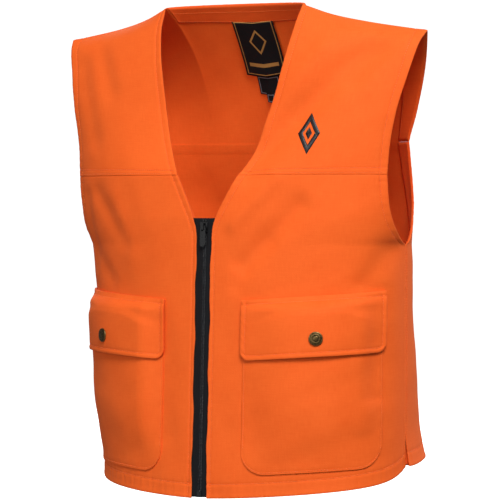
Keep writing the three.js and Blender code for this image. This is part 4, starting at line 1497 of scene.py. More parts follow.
# ---------------------------------------------------------------------------- grids near edges
EDGE_SPOTS = spots([0, 0.6, 1.5, 2.6, 3.8, 5.2, 6.5, 7.6, 8.6, 9.5, 10.4, 11.6, 13.4, 16, 20, 25])
HEM_SPOTS = spots([0, 0.6, 1.6, 3, 5, 8, 11, 14, 15.6, 16.8, 18, 19.2, 20.6, 24, 30])
SEAM_SPOTS = spots([0, 0.7, 1.5, 2.3, 3.2, 4.6, 6.2, 7.4, 8.4, 9.4, 11, 14, 18])


def fine(count: int) -> int:
    return max(4, int(count * (1.0)))


def facing_piece(
    name: str, surface: Surface, a: Array, b: Array, ride: Ride, nodes: Sequence[str],
    outer: float = -CLOTH.inside, thick: float = CLOTH.facing,
) -> Any:
    """Makes one band of facing cloth, folded behind the outer cloth.

    Args:
        name: name of the piece.
        surface: the face that it follows.
        a: first coordinates of its grid.
        b: second coordinates of its grid.
        ride: what it moves with.
        nodes: CAD nodes that it stands for.
        outer: lift of its outer face.
        thick: thickness.

    Returns:
        The object.
    """
    return cloth_piece(
        name, surface, a, b, outer, thick, SHADED_FACING, ride, nodes,
    )


@dataclass
class BackBody:
    """The back panel and yoke with their seam, facings and hem, all riding on the shell."""

    columns: int = 150
    rows: int = 110
    yoke_rows: int = 70
    panel_half: float = 250.0  # lengths along the cloth from the middle of the back to its edge
    yoke_half: float = 235.0
    facing_half: float = 240.0
    neck_length: float = 170.0  # from the yoke's seam up to the neck edge
    ride: Ride = Ride("shell")
    panel: BackSurface = field(default_factory=BackSurface)
    yoke: BackYokeSurface = field(default_factory=BackYokeSurface)

    def half(self, z: Array) -> Array:
        """Length from the middle of the back to its edge."""
        return SECTIONS.edge(Side.LEFT, z, True)

    def shares(self, band: Array, half: float) -> Array:
        """Signed shares of the width, close together near both edges."""
        near = 1 - band / half
        middle = np.linspace(-near[-1], near[-1], fine(self.columns))
        return spots(-near, middle, near)

    def panel_relief(self, u: Array, z: Array) -> Array:
        """Height of the panel's seams, armhole edges and hem.

        Args:
            u: signed shares of the half width.
            z: heights.

        Returns:
            Heights.
        """
        reach = (1 - np.abs(u)) * self.half(z)
        arm = smooth((z - SHELL.armhole_z + 3) / 6)
        total = arm * finished_edge(reach, CLOTH.armhole_stitch, z, 1.0)
        total = total + (1 - arm) * (-0.5 * bump(reach, 1.6) - 0.3 * bump(reach - 3, 1.2))
        hem = z - back_hem(u)
        total = total + finished_edge(hem, CLOTH.hem_stitch, u * self.panel_half, 0.3)
        return total - 0.25 * bump(SHELL.back_yoke_z - z, 1.2)

    def make_panel(self) -> Any:
        """The back panel."""
        u = self.shares(EDGE_SPOTS, self.panel_half)[:, None]
        top = SHELL.back_yoke_z - 0.04
        low = back_hem(u)
        middle = np.linspace(0, 1, fine(self.rows))[None, 1:-1]
        z = np.concatenate([
            low + HEM_SPOTS[None, :],
            lerp(low + HEM_SPOTS[-1], top - SEAM_SPOTS[-1], middle),
            np.broadcast_to(top - SEAM_SPOTS[None, ::-1], (len(u), len(SEAM_SPOTS))),
        ], axis=1)
        u = np.broadcast_to(u, z.shape)
        return cloth_piece(
            "BackPanel", self.panel, u, z, 0.0, CLOTH.fabric, TWILL, self.ride, ["back_panel"],
            relief=self.panel_relief(u, z),
        )

    def yoke_relief(self, u: Array, v: Array) -> Array:
        """Height of the yoke's seam, armhole edges and neck edge.

        Args:
            u: signed shares of the half width.
            v: shares of the yoke's height.

        Returns:
            Heights.
        """
        reach = (1 - np.abs(u)) * self.yoke_half
        seam = v * self.yoke.length
        total = finished_edge(reach, CLOTH.armhole_stitch, seam, 1.7)
        total = total + 0.3 * bump(seam - 4, 3.4) - 0.25 * bump(seam - 8, 0.9)
        top = (1 - v) * self.neck_length
        neck = smooth((SHELL.neck_share - np.abs(u)) / 0.02)
        total = total + neck * finished_edge(top, CLOTH.neck_stitch, u * self.panel_half, 0.9)
        return total - (1 - neck) * 0.7 * bump(top, 1.5)

    def make_yoke(self) -> Any:
        """The back yoke."""
        u = self.shares(EDGE_SPOTS, self.yoke_half)
        u = spots(u, [-SHELL.neck_share, SHELL.neck_share])[:, None]
        low = (SEAM_SPOTS - CLOTH.seam_gap) / self.yoke.length
        high = 1 - EDGE_SPOTS[EDGE_SPOTS <= 13.4] / self.neck_length
        v = spots(low, np.linspace(low[-1], high[-1], fine(self.yoke_rows)), high)[None, :]
        u, v = np.broadcast_arrays(u, v)
        return cloth_piece(
            "BackYoke", self.yoke, u, v, 0.0, CLOTH.fabric, TWILL, self.ride, ["back_yoke"],
            relief=self.yoke_relief(u, v),
        )

    def make_bands(self) -> None:
        """The neck facing, the armhole facings, the hem and the seam allowance of the yoke."""
        k = SHELL.neck_share - 0.012
        u, v = grid_of(np.linspace(-k, k, fine(60)), np.linspace(0.86, 0.9985, 9))
        facing_piece("NeckFacing", self.yoke, u, v, self.ride, ["neck_facing"])
        u, z = grid_of(np.linspace(-0.985, 0.985, fine(110)), np.linspace(0, 1, 8))
        hem = back_hem(u) + lerp(0.6, CLOTH.hem_band, z)
        facing_piece("BackHemBand", self.panel, u, hem, self.ride, ["back_hem_band"])
        for side in Side:
            self.make_armhole(side)
            self.make_side_seam(side)
        top = SHELL.back_yoke_z
        rows = top - 14 + spots([0, 0.1, 0.4, 1.2, 3, 6, 9, 12, 14, 14.6, 14.7, 14.8])
        u, z = grid_of(np.linspace(-0.9, 0.9, fine(110)), rows)
        cloth_piece(
            "BackSeamAllowance", self.panel, u, z, self.allowance_lift(u, top - z), 0.4, TWILL, self.ride,
            [],
        )

    def allowance_lift(self, u: Array, drop: Array) -> Array:
        """Lift of the yoke seam's allowance, whose lower edge is caught down into the cloth."""
        return -CLOTH.fabric - 0.05 - 0.04 * np.sin(u * 90) + 0.5 * smooth((drop - 9) / 5)

    def make_side_seam(self, side: Side) -> None:
        """The allowance inside one side seam; the wearer's right one reaches behind the front.

        Args:
            side: left or right.
        """
        under = 26.0 if side is Side.RIGHT else 2.5
        across = spots([-under, -under + 0.1, -under / 2, -1.2, -0.3, 0.3, 1.5, 4, 7, 8.8, 9])
        d, t = grid_of(across, np.linspace(0, 1, fine(110)))
        z = lerp(SHELL.side_rise + 1, SHELL.armhole_z - 2, t)
        facing_piece(
            f"SideSeamAllowance_{side.value}", SideSeamSurface(side), d, z, self.ride, [],
            -CLOTH.inside - CLOTH.facing - 0.1, 0.5,
        )

    def make_armhole(self, side: Side) -> None:
        """The facing of one armhole, on the panel and on the yoke.

        Args:
            side: left or right.
        """
        name, m = side.value, side.mirror
        d, t = grid_of(np.linspace(0.6, CLOTH.facing_width, 8), np.linspace(0, 1, fine(50)))
        z = lerp(SHELL.armhole_z + 1, SHELL.back_yoke_z - 1, t)
        facing_piece(
            f"ArmholeFacingBack_{name}", self.panel, m * (1 - d / self.half(z)), z, self.ride,
            [f"armhole_facing_back_{name}"],
        )
        facing_piece(
            f"ArmholeFacingShoulder_{name}", self.yoke, m * (1 - d / self.facing_half),
            lerp(0.004, 0.985, t), self.ride, [f"armhole_facing_shoulder_{name}"],
        )

    def make_stitches(self) -> None:
        """The topstitching of the back."""
        run = Stitching("BackStitches", THREAD, self.ride)
        for m in (-1, 1):
            z = np.linspace(SHELL.armhole_z + 4, SHELL.back_yoke_z - 1, 60)
            run.add(self.panel, m * (1 - CLOTH.armhole_stitch / self.half(z)), z, -0.3)
            v = np.linspace(0.01, 0.985, 80)
            run.add(self.yoke, np.full_like(v, m * (1 - CLOTH.armhole_stitch / self.yoke_half)), v, -0.3)
            z = np.linspace(SHELL.vent_z - 10, SHELL.armhole_z - 6, 60)
            run.add(self.panel, m * (1 - 3.0 / self.half(z)), z, -0.1)
        u = np.linspace(-0.985, 0.985, 160)
        run.add(self.panel, u, back_hem(u) + CLOTH.hem_stitch, -0.3)
        for drop in (2.0, 8.0):
            run.add(self.yoke, u, np.full_like(u, drop / self.yoke.length), 0.1)
        u = np.linspace(-SHELL.neck_share, SHELL.neck_share, 80)
        neck_line = 1 - CLOTH.neck_stitch / self.neck_length
        run.add(self.yoke, u, np.full_like(u, neck_line), -0.3)
        run.make()
        inner = Stitching("BackInnerStitches", THREAD, self.ride)
        depth = -CLOTH.inside - CLOTH.facing
        k = SHELL.neck_share - 0.02
        u = np.linspace(-k, k, 80)
        for v in (0.872, neck_line):
            inner.add_line(self.yoke.place(u, np.full_like(u, v), depth), -self.yoke.normal(u, u * 0 + v))
        for m in (-1, 1):
            v = np.linspace(0.02, 0.97, 80)
            a = np.full_like(v, m * (1 - (CLOTH.facing_width - 2.5) / self.facing_half))
            inner.add_line(self.yoke.place(a, v, depth), -self.yoke.normal(a, v))
        inner.make()

    def make(self) -> None:
        """Makes every piece of the back."""
        self.make_yoke()
        self.make_panel()
        self.make_bands()
        self.make_stitches()


@dataclass
class FrontHalf:
    """One front half: panel and yoke with their facings, hem and topstitching."""

    side: Side
    columns: int = 90
    rows: int = 120
    yoke_rows: int = 60
    set_back: float = 1.9  # the cloth's edge is drawn back this far from its cut line beside the zip

    def __post_init__(self) -> None:
        """Works out the surfaces and what the pieces move with."""
        self.surface = FrontSurface(self.side)
        self.yoke = FrontYokeSurface(self.side)
        self.ride = front_ride(self.side)

    def across(self, z: Array, wobble: bool = True) -> Array:
        """Lengths from centre front over the panel's columns, close together near both edges.

        Args:
            z: heights, one row of them or one for each column.
            wobble: whether the edge beside the zip waves a little.

        Returns:
            Lengths, columns by rows.
        """
        inner, edge = opening(z), SECTIONS.edge(self.side, z)
        count = fine(self.columns)
        near = EDGE_SPOTS
        shares = np.linspace(0, 1, count)[1:-1]
        columns = []
        for i in range(len(near) * 2 + len(shares)):
            row = z[min(i, len(z) - 1)] if z.ndim == 2 else z
            a, b = (inner, edge) if z.ndim == 1 else (inner[min(i, len(z) - 1)], edge[min(i, len(z) - 1)])
            if i < len(near):
                s = a + near[i]
            elif i < len(near) + len(shares):
                s = lerp(a + near[-1], b - near[-1], shares[i - len(near)])
            else:
                s = b - near[::-1][i - len(near) - len(shares)]
            if wobble:
                fade = bump(s - a, 9.0) * smooth((SHELL.zip_top_z + 20 - row) / 30)
                drift = 0.7 * np.sin(row / 17.0 + self.side.mirror) + 0.4 * np.sin(row / 7.3 + 1.9)
                s = s + fade * (drift + self.set_back)
            columns.append(s)
        return np.array(columns)

    def grid(self) -> tuple[Array, Array]:
        """Lengths and heights of the panel's grid."""
        foot = self.across(np.array([0.0]), False)[:, 0]
        hem = front_hem(foot / SECTIONS.edge(self.side, 0.0))[:, None]
        top = SHELL.front_yoke_z - 0.04
        middle = np.linspace(0, 1, fine(self.rows))[None, 1:-1]
        z = np.concatenate([
            hem + HEM_SPOTS[None, :],
            lerp(hem + HEM_SPOTS[-1], top - SEAM_SPOTS[-1], middle),
            np.broadcast_to(top - SEAM_SPOTS[None, ::-1], (len(foot), len(SEAM_SPOTS))),
        ], axis=1)
        return self.across(z), z

    def panel_relief(self, s: Array, z: Array) -> Array:
        """Height of the panel's edges, seams and hem.

        Args:
            s: lengths from centre front.
            z: heights.

        Returns:
            Heights.
        """
        k = SHELL
        inner, edge = opening(z), SECTIONS.edge(self.side, z)
        v_neck = smooth((z - k.v_start_z) / 20)
        total = (1 - v_neck) * finished_edge(s - inner, CLOTH.front_stitch, z, 0.2)
        total = total + v_neck * finished_edge(s - inner, CLOTH.neck_stitch, z, 0.5)
        arm = smooth((z - k.armhole_z + 3) / 6)
        total = total + arm * finished_edge(edge - s, CLOTH.armhole_stitch, z, 0.8)
        total = total + (1 - arm) * (0.35 * bump(edge - s - 2.5, 2.2) - 0.5 * bump(edge - s, 1.0))
        foot = SECTIONS.edge(self.side, 0.0)
        hem = z - front_hem(np.clip(s / foot, 0, 1))
        total = total + finished_edge(hem, CLOTH.hem_stitch, s, 0.6)
        return total - 0.35 * bump(k.front_yoke_z - z, 1.4)

    def make_panel(self) -> Any:
        """The front panel."""
        s, z = self.grid()
        uv = np.stack([s * self.side.mirror, z], axis=-1)
        name = self.side.value
        return cloth_piece(
            f"FrontPanel_{name}", self.surface, s, z, 0.0, CLOTH.fabric, TWILL, self.ride,
            [f"front_panel_{name}"], uv=uv, relief=self.panel_relief(s, z),
        )

    def yoke_grid(self, rows: Array) -> tuple[Array, Array, Array]:
        """Shares and widths over the yoke, columns close together near both edges.

        Args:
            rows: shares of the yoke's height.

        Returns:
            Shares, rows and widths over the grid.
        """
        width = self.yoke.width(rows)[None, :]
        near = EDGE_SPOTS[:, None] / width
        shares = np.linspace(0, 1, fine(self.columns // 2 + 10))[1:-1, None]
        middle = lerp(near[-1:], 1 - near[-1:], shares)
        u = np.concatenate([near, middle, 1 - near[::-1]])
        return u, np.broadcast_to(rows[None, :], u.shape), np.broadcast_to(width, u.shape)

    def make_yoke(self) -> Any:
        """The front yoke."""
        low = (SEAM_SPOTS - CLOTH.seam_gap) / self.yoke.length
        rows = spots(low, np.linspace(0.08, 0.97, fine(self.yoke_rows)), [0.98, 0.99, 0.996, 1])
        u, v, width = self.yoke_grid(rows)
        up = v * self.yoke.length
        relief = finished_edge(u * width, CLOTH.neck_stitch, up, 0.4)
        relief = relief + finished_edge((1 - u) * width, CLOTH.armhole_stitch, up, 0.9)
        relief = relief + 0.25 * bump(up - 3, 3.4) - 0.3 * bump(up - 2, 0.9) - 0.35 * bump(up - 8, 0.9)
        relief = relief - 0.6 * bump(self.yoke.length - up, 1.6)
        name = self.side.value
        return cloth_piece(
            f"FrontYoke_{name}", self.yoke, u, v, 0.0, CLOTH.fabric, TWILL, self.ride,
            [f"front_yoke_{name}"], relief=relief,
        )

    def make_facings(self) -> None:
        """The facings behind the front edge, the V neck, the armhole and the hem."""
        name = self.side.value
        sag = CLOTH.inside + CLOTH.edge_sag + CLOTH.tape_thick + CLOTH.gap
        d, t = grid_of(np.linspace(0.8, CLOTH.facing_width, 9), np.linspace(0, 1, fine(110)))
        z = lerp(1.5, SHELL.front_yoke_z - 1, t)
        facing_piece(
            f"FrontFacing_{name}", self.surface, opening(z) + d, z, self.ride, [f"front_facing_{name}"],
            -sag,
        )
        v = lerp(0.004, 0.985, t)
        share = d / self.yoke.width(v)
        facing_piece(
            f"VNeckFacing_{name}", self.yoke, share, v, self.ride, [f"v_neck_facing_{name}"],
        )
        facing_piece(
            f"ArmholeFacingYoke_{name}", self.yoke, 1 - share, v, self.ride,
            [f"armhole_facing_yoke_{name}"],
        )
        z = lerp(SHELL.armhole_z + 1, SHELL.front_yoke_z - 1, t)
        facing_piece(
            f"ArmholeFacingFront_{name}", self.surface, SECTIONS.edge(self.side, z) - d, z, self.ride,
            [f"armhole_facing_front_{name}"],
        )
        top = SHELL.front_yoke_z
        t, z = grid_of(np.linspace(0, 1, fine(60)), np.linspace(top - 12, top + 0.8, 6))
        s = lerp(opening(z) + 1.0, SECTIONS.edge(self.side, z) - CLOTH.facing_width - 1.5, t)
        facing_piece(f"FrontSeamAllowance_{name}", self.surface, s, z, self.ride, [])
        foot = SECTIONS.edge(self.side, 0.0)
        start = opening(0.0) + CLOTH.facing_width + 2
        t, h = grid_of(np.linspace(0, 1, fine(90)), np.linspace(0.6, CLOTH.hem_band, 7))
        s0 = lerp(start, foot - 1, t)
        z = front_hem(s0 / foot) + h
        edge = SECTIONS.edge(self.side, z)
        s = lerp(start, edge - 1, t)
        facing_piece(
            f"FrontHemBand_{name}", self.surface, s, z, self.ride, [f"front_hem_band_{name}"],
        )

    def make_stitches(self) -> None:
        """The topstitching of the half."""
        run = Stitching(f"FrontStitches_{self.side.value}", THREAD, self.ride)
        z = np.linspace(6, SHELL.v_start_z, 120)
        run.add(self.surface, opening(z) + CLOTH.front_stitch + 0.8, z, -0.35)
        z = np.linspace(SHELL.v_start_z + 2, SHELL.front_yoke_z - 2, 40)
        blend = lerp(CLOTH.front_stitch, CLOTH.neck_stitch, smooth((z - SHELL.v_start_z) / 20))
        run.add(self.surface, opening(z) + blend, z, -0.35)
        z = np.linspace(SHELL.armhole_z + 6, SHELL.front_yoke_z - 2, 40)
        run.add(self.surface, SECTIONS.edge(self.side, z) - CLOTH.armhole_stitch, z, -0.35)
        z = np.linspace(50, SHELL.armhole_z - 6, 80)
        run.add(self.surface, SECTIONS.edge(self.side, z) - 3, z, 0.25)
        foot = SECTIONS.edge(self.side, 0.0)
        s = np.linspace(14, foot - 6, 120)
        run.add(self.surface, s, front_hem(s / foot) + CLOTH.hem_stitch, -0.35)
        v = np.linspace(0.01, 0.985, 90)
        run.add(self.yoke, CLOTH.neck_stitch / self.yoke.width(v), v, -0.35)
        run.add(self.yoke, 1 - CLOTH.armhole_stitch / self.yoke.width(v), v, -0.35)
        u = np.linspace(0.02, 0.98, 80)
        for drop in (2.0, 8.0):
            run.add(self.yoke, u, np.full_like(u, drop / self.yoke.length), 0.05)
        run.add(self.yoke, u, np.full_like(u, 0.982), -0.1)
        run.make()

    def make(self) -> None:
        """Makes every piece of the half."""
        self.make_yoke()
        self.make_panel()
        self.make_facings()
        self.make_stitches()


@dataclass
class Pocket:
    """One bellows pocket and its snap flap."""

    side: Side
    inner: float = 59.0
    width: float = 184.0
    bottom: float = 30.0
    corner: float = 32.0
    depth: float = 11.0
    slope: float = 0.065
    seam_z: float = 252.0
    flap_height: float = 77.0
    overhang: float = 2.5
    flap_corner: float = 13.0
    mouth_drop: float = 11.0
    mouth_dip: float = 15.0
    mouth_dip_width: float = 70.0
    mouth_lean: float = 0.75
    edge_rise: float = 14.0
    rises: dict[Side, tuple[float, float]] = field(
        default_factory=lambda: {Side.LEFT: (72.0, 80.0), Side.RIGHT: (34.0, 40.0)}
    )
    foot_rise: float = 95.0
    seat: float = 0.4
    stack: float = 3.9
    flap_rise: float = 16.0
    flap_stitch: float = 6.0
    snap_drop: float = 54.0
    cap_radius: float = 9.0

    def __post_init__(self) -> None:
        """Works out the surface and the snap's place."""
        self.surface = FrontSurface(self.side)
        self.outer = self.inner + self.width
        self.snap_s = (self.inner + self.outer) / 2 + 3
        self.snap_z = float(self.seam(self.snap_s)) - self.snap_drop
        self.front = Ride(f"{self.side.value}_front")

    def seam(self, s: Array) -> Array:
        """Height of the flap's sewn top."""
        return self.seam_z + self.slope * (s - self.inner)

    def mouth(self, s: Array) -> Array:
        """Height of the pocket's mouth."""
        end = np.minimum(s - self.inner, self.outer - s)
        return self.seam(s) - self.mouth_drop - self.mouth_dip * (1 - smooth(end / self.mouth_dip_width))

    def lift_at(self, distance: Array, radius: float) -> Array:
        """Height of a rounded lower corner above its straight line."""
        d = np.clip(distance, 0, radius)
        return radius - np.sqrt(np.maximum(0, radius ** 2 - (radius - d) ** 2))

    def foot(self, s: Array) -> Array:
        """Height of the pocket's lower edge."""
        side = np.minimum(s - self.inner, self.outer - s)
        return self.bottom + self.slope * (s - self.inner) + self.lift_at(side, self.corner)

    def pouch(self, s: Array, z: Array) -> Array:
        """Stand-off of the pouch's outer face: an empty bag swells gently from its sewn edges.

        Args:
            s: lengths from centre front.
            z: heights.

        Returns:
            Stand-offs.
        """
        near, far = self.rises[self.side]
        swell = smooth(0.06 + (s - self.inner) / near) * smooth(0.06 + (self.outer - s) / far)
        foot = z - self.foot(s)
        swell = swell * smooth(0.04 + foot / self.foot_rise)
        edge = np.minimum(np.minimum(s - self.inner, self.outer - s), foot)
        lean = lerp(self.mouth_lean, 1, smooth((self.mouth(s) - z) / self.edge_rise))
        return self.seat + CLOTH.fabric + self.depth * swell * lean * smooth(edge / 3)

    def stand(self, s: Array, drop: Array) -> Array:
        """Stand-off of the flap's inner face: it lies on the pouch, and clears the snap's parts.

        Args:
            s: lengths from centre front.
            drop: lengths down from the flap's sewn top.

        Returns:
            Stand-offs.
        """
        drop = np.asarray(drop, float)
        z = self.seam(s) - drop
        inner = np.clip(s, self.inner + 0.5, self.outer - 0.5)
        under = self.pouch(inner, np.minimum(z, self.mouth(inner)))
        near = bump(np.hypot(s - self.snap_s, drop - self.snap_drop), 42.0)
        return lerp(CLOTH.gap, under + lerp(0.9, self.stack, near), smooth(drop / self.flap_rise))

    def make_bag(self) -> Any:
        """The pouch."""
        near = spots([0, 0.8, 1.8, 3, 4.4, 6, 7.6, 9.4, 12, 16, 21, 27, 34])
        middle = np.linspace(self.inner + 34, self.outer - 34, fine(50))
        s = spots(self.inner + near, middle, self.outer - near)[:, None]
        low, high = self.foot(s), self.mouth(s)
        up = spots([0, 0.8, 2, 3.6, 5.4, 7.6, 10, 13, 17, 22])[None, :]
        down = spots([0, 0.8, 2, 4, 7, 10, 13, 16, 20])[None, ::-1]
        middle = lerp(low + 22, high - 20, np.linspace(0, 1, fine(60))[None, 1:-1])
        z = np.concatenate([low + up, middle, high - down], axis=1)
        s = np.broadcast_to(s, z.shape)
        side = np.minimum(s - self.inner, self.outer - s)
        rim = np.minimum(side, (z - low) * 0.8)
        pucker = np.sin(z / 3.1) + np.sin(s / 2.7 + 1)
        relief = -0.35 * bump(rim - 2.2, 0.9) + 0.14 * pucker * bump(rim - 5, 5)
        relief = relief + 0.7 * waves(s, z, 74.0, 3.0 + self.side.mirror) * smooth(rim / 22)
        relief = np.minimum(relief, 1.2)
        uv = np.stack([s * self.side.mirror, z], axis=-1)
        name = self.side.value
        return cloth_piece(
            f"PocketBag_{name}", self.surface, s, z, self.pouch(s, z) + relief, CLOTH.fabric, TWILL,
            self.front, [f"pocket_{name}"], uv=uv,
        )

    def flap_ride(self) -> Ride:
        """A blend from the front to the flap over a short drop below its sewn top, kept but not applied.
        """
        start, end = (
            to_metres(self.surface.point(np.array(self.snap_s), np.array(self.seam(self.snap_s) - drop)))
            for drop in (0.0, self.flap_rise)
        )
        return Ride(f"{self.side.value}_front", f"{self.side.value}_flap", tuple(start), tuple(end))

    def flap_grid(self) -> tuple[Array, Array, Array, Array]:
        """Lengths, heights, reaches and drops over the flap."""
        left, right = self.inner - self.overhang, self.outer + self.overhang
        near = spots([0, 0.6, 1.4, 2.4, 3.6, 5, 6, 7, 8.4, 10.5, 14, 19])
        s = spots(left + near, np.linspace(left + 19, right - 19, fine(60)), right - near)[:, None]
        reach = np.minimum(s - left, right - s)
        total = self.flap_height - self.lift_at(reach, self.flap_corner)
        top = spots([0, 0.8, 1.8, 3, 4.4, 5.6, 6.6, 8, 10, 13, 16])[None, :]
        low = spots([0, 0.7, 1.6, 2.8, 4, 5.2, 6.2, 7.4, 9, 12])[None, ::-1]
        middle = lerp(16, total - 12, np.linspace(0, 1, fine(26))[None, 1:-1])
        drop = np.concatenate([np.broadcast_to(top, (len(s), top.shape[1])), middle, total - low], axis=1)
        s = np.broadcast_to(s, drop.shape)
        return s, self.seam(s) - drop, np.broadcast_to(reach, drop.shape), drop

    def make_flap(self) -> Any:
        """The flap and its lining."""
        s, z, reach, drop = self.flap_grid()
        name, ride = self.side.value, self.flap_ride()
        stand = self.stand(s, drop)
        uv = np.stack([s * self.side.mirror, z], axis=-1)
        total = self.flap_height - self.lift_at(reach, self.flap_corner)
        rim = np.minimum(reach, total - drop)
        relief = finished_edge(rim, self.flap_stitch, s + z, 0.7)
        relief = relief + finished_edge(drop, self.flap_stitch, s, 1.9)
        relief = relief + 0.35 * waves(s, z, 52.0, 1.0 + self.side.mirror) * smooth(rim / 14)
        cloth_piece(
            f"FlapLining_{name}", self.surface, s, z, stand + CLOTH.facing, CLOTH.facing, SHADED_FACING, ride,
            [f"flap_lining_{name}"], uv=uv,
        )
        outer = stand + CLOTH.facing + CLOTH.gap + CLOTH.fabric
        return cloth_piece(
            f"Flap_{name}", self.surface, s, z, outer, CLOTH.fabric, TWILL, ride, [f"flap_{name}"],
            uv=uv, relief=relief,
        )

    def rim_line(self, inset: float) -> tuple[Array, Array]:
        """Reach and drop along the flap's edge, at an inset from it, from one top end to the other.

        Args:
            inset: distance of the line from the edge.

        Returns:
            Reaches from the flap's inner end, and drops.
        """
        radius = self.flap_corner - inset
        wide = self.width + 2 * self.overhang
        turn = np.linspace(0, math.pi / 2, 9)
        s = [np.full(20, inset), inset + radius - radius * np.cos(turn)]
        drop = [np.linspace(7, self.flap_height - self.flap_corner, 20)]
        drop.append(self.flap_height - self.flap_corner + radius * np.sin(turn))
        s.append(np.linspace(self.flap_corner, wide - self.flap_corner, 50)[1:-1])
        drop.append(np.full(48, self.flap_height - inset))
        s += [wide - part for part in (s[1][::-1], s[0][::-1])]
        drop += [drop[1][::-1], drop[0][::-1]]
        return np.concatenate(s), np.concatenate(drop)

    def flap_line(self, s: Array, drop: Array, lift: float) -> tuple[Array, Array]:
        """Points and normals on the flap's outer face."""
        height = self.stand(s, drop) + CLOTH.facing + CLOTH.gap + CLOTH.fabric + lift
        z = self.seam(s) - drop
        return self.surface.place(s, z, height), self.surface.normal(s, z)

    def make_stitches(self) -> None:
        """The topstitching of flap and pouch."""
        name = self.side.value
        run = Stitching(f"FlapStitches_{name}", THREAD, self.flap_ride())
        s, drop = self.rim_line(self.flap_stitch)
        run.add_line(*self.flap_line(s + self.inner - self.overhang, drop, -0.35))
        s = np.linspace(self.inner, self.outer, 70)
        run.add_line(*self.flap_line(s, np.full_like(s, self.flap_stitch), -0.35))
        run.make()
        run = Stitching(f"PocketStitches_{name}", THREAD, self.front)
        for s in (self.inner + 2.2, self.outer - 2.2):
            low = self.foot(np.array(self.inner + self.corner)) + self.corner
            z = np.linspace(low, self.mouth(np.array(s)), 60)
            line = np.full_like(z, s)
            run.add(self.surface, line, z, self.pouch(line, z) - 0.15)
        s = np.linspace(self.inner + 4, self.outer - 4, 90)
        z = self.foot(s) + 2.6
        run.add(self.surface, s, z, self.pouch(s, z) - 0.15)
        run.make()

    def snap_frame(self) -> tuple[Array, Array, Array, Array]:
        """The snap's place on the panel, its outward normal and two directions across it."""
        s, z = np.array(self.snap_s), np.array(self.snap_z)
        normal = self.surface.normal(s, z)
        across = unit(np.cross(np.array([0.0, 0.0, 1.0]), normal))
        return self.surface.point(s, z), normal, across, np.cross(normal, across)

    def make_cap(self) -> Any:
        """The snap's cap: a ringed dome, pressed and rolled at the rim."""
        profile = [
            (0.0, 2.35), (0.18, 2.32), (0.3, 2.2), (0.36, 1.95), (0.42, 1.9), (0.5, 1.98), (0.56, 2.12),
            (0.62, 2.08), (0.68, 1.86), (0.76, 1.72), (0.84, 1.66), (0.9, 1.7), (0.96, 1.55),
            (1.0, 1.15), (1.0, 0.6), (0.95, 0.18), (0.86, 0.0), (0.0, 0.0),
        ]
        place, normal, across, up = self.snap_frame()
        base = float(self.stand(np.array(self.snap_s), np.array(self.snap_drop)))
        base += CLOTH.facing + CLOTH.gap + CLOTH.fabric + 0.4
        turns = 48
        angle = np.linspace(0, 2 * math.pi, turns, endpoint=False)
        rings = [
            place + normal * (base + h)
            + self.cap_radius * r * (np.cos(angle)[:, None] * across + np.sin(angle)[:, None] * up)
            for r, h in profile[1:-1]
        ]
        ends = [place + normal * (base + h) for h in (profile[0][1], profile[-1][1])]
        points = np.concatenate([*rings, ends])
        k = np.arange(turns)
        after = (k + 1) % turns
        quads = tube_faces(len(rings), turns)[:, [0, 3, 2, 1]]
        first, last = len(rings) * turns, len(rings) * turns + 1
        foot = (len(rings) - 1) * turns
        caps = np.concatenate([
            np.stack([np.full(turns, first), k, after], axis=1),
            np.stack([np.full(turns, last), foot + after, foot + k], axis=1),
        ])
        obj = make_object(f"SnapCap_{self.side.value}", points, [quads, caps])
        return dress(obj, BRASS, Ride(f"{self.side.value}_flap"), f"snap_cap_{self.side.value}")

    def make(self) -> None:
        """Makes the pocket, the flap and the snap."""
        self.make_bag()
        self.make_flap()
        self.make_stitches()
        self.make_cap()


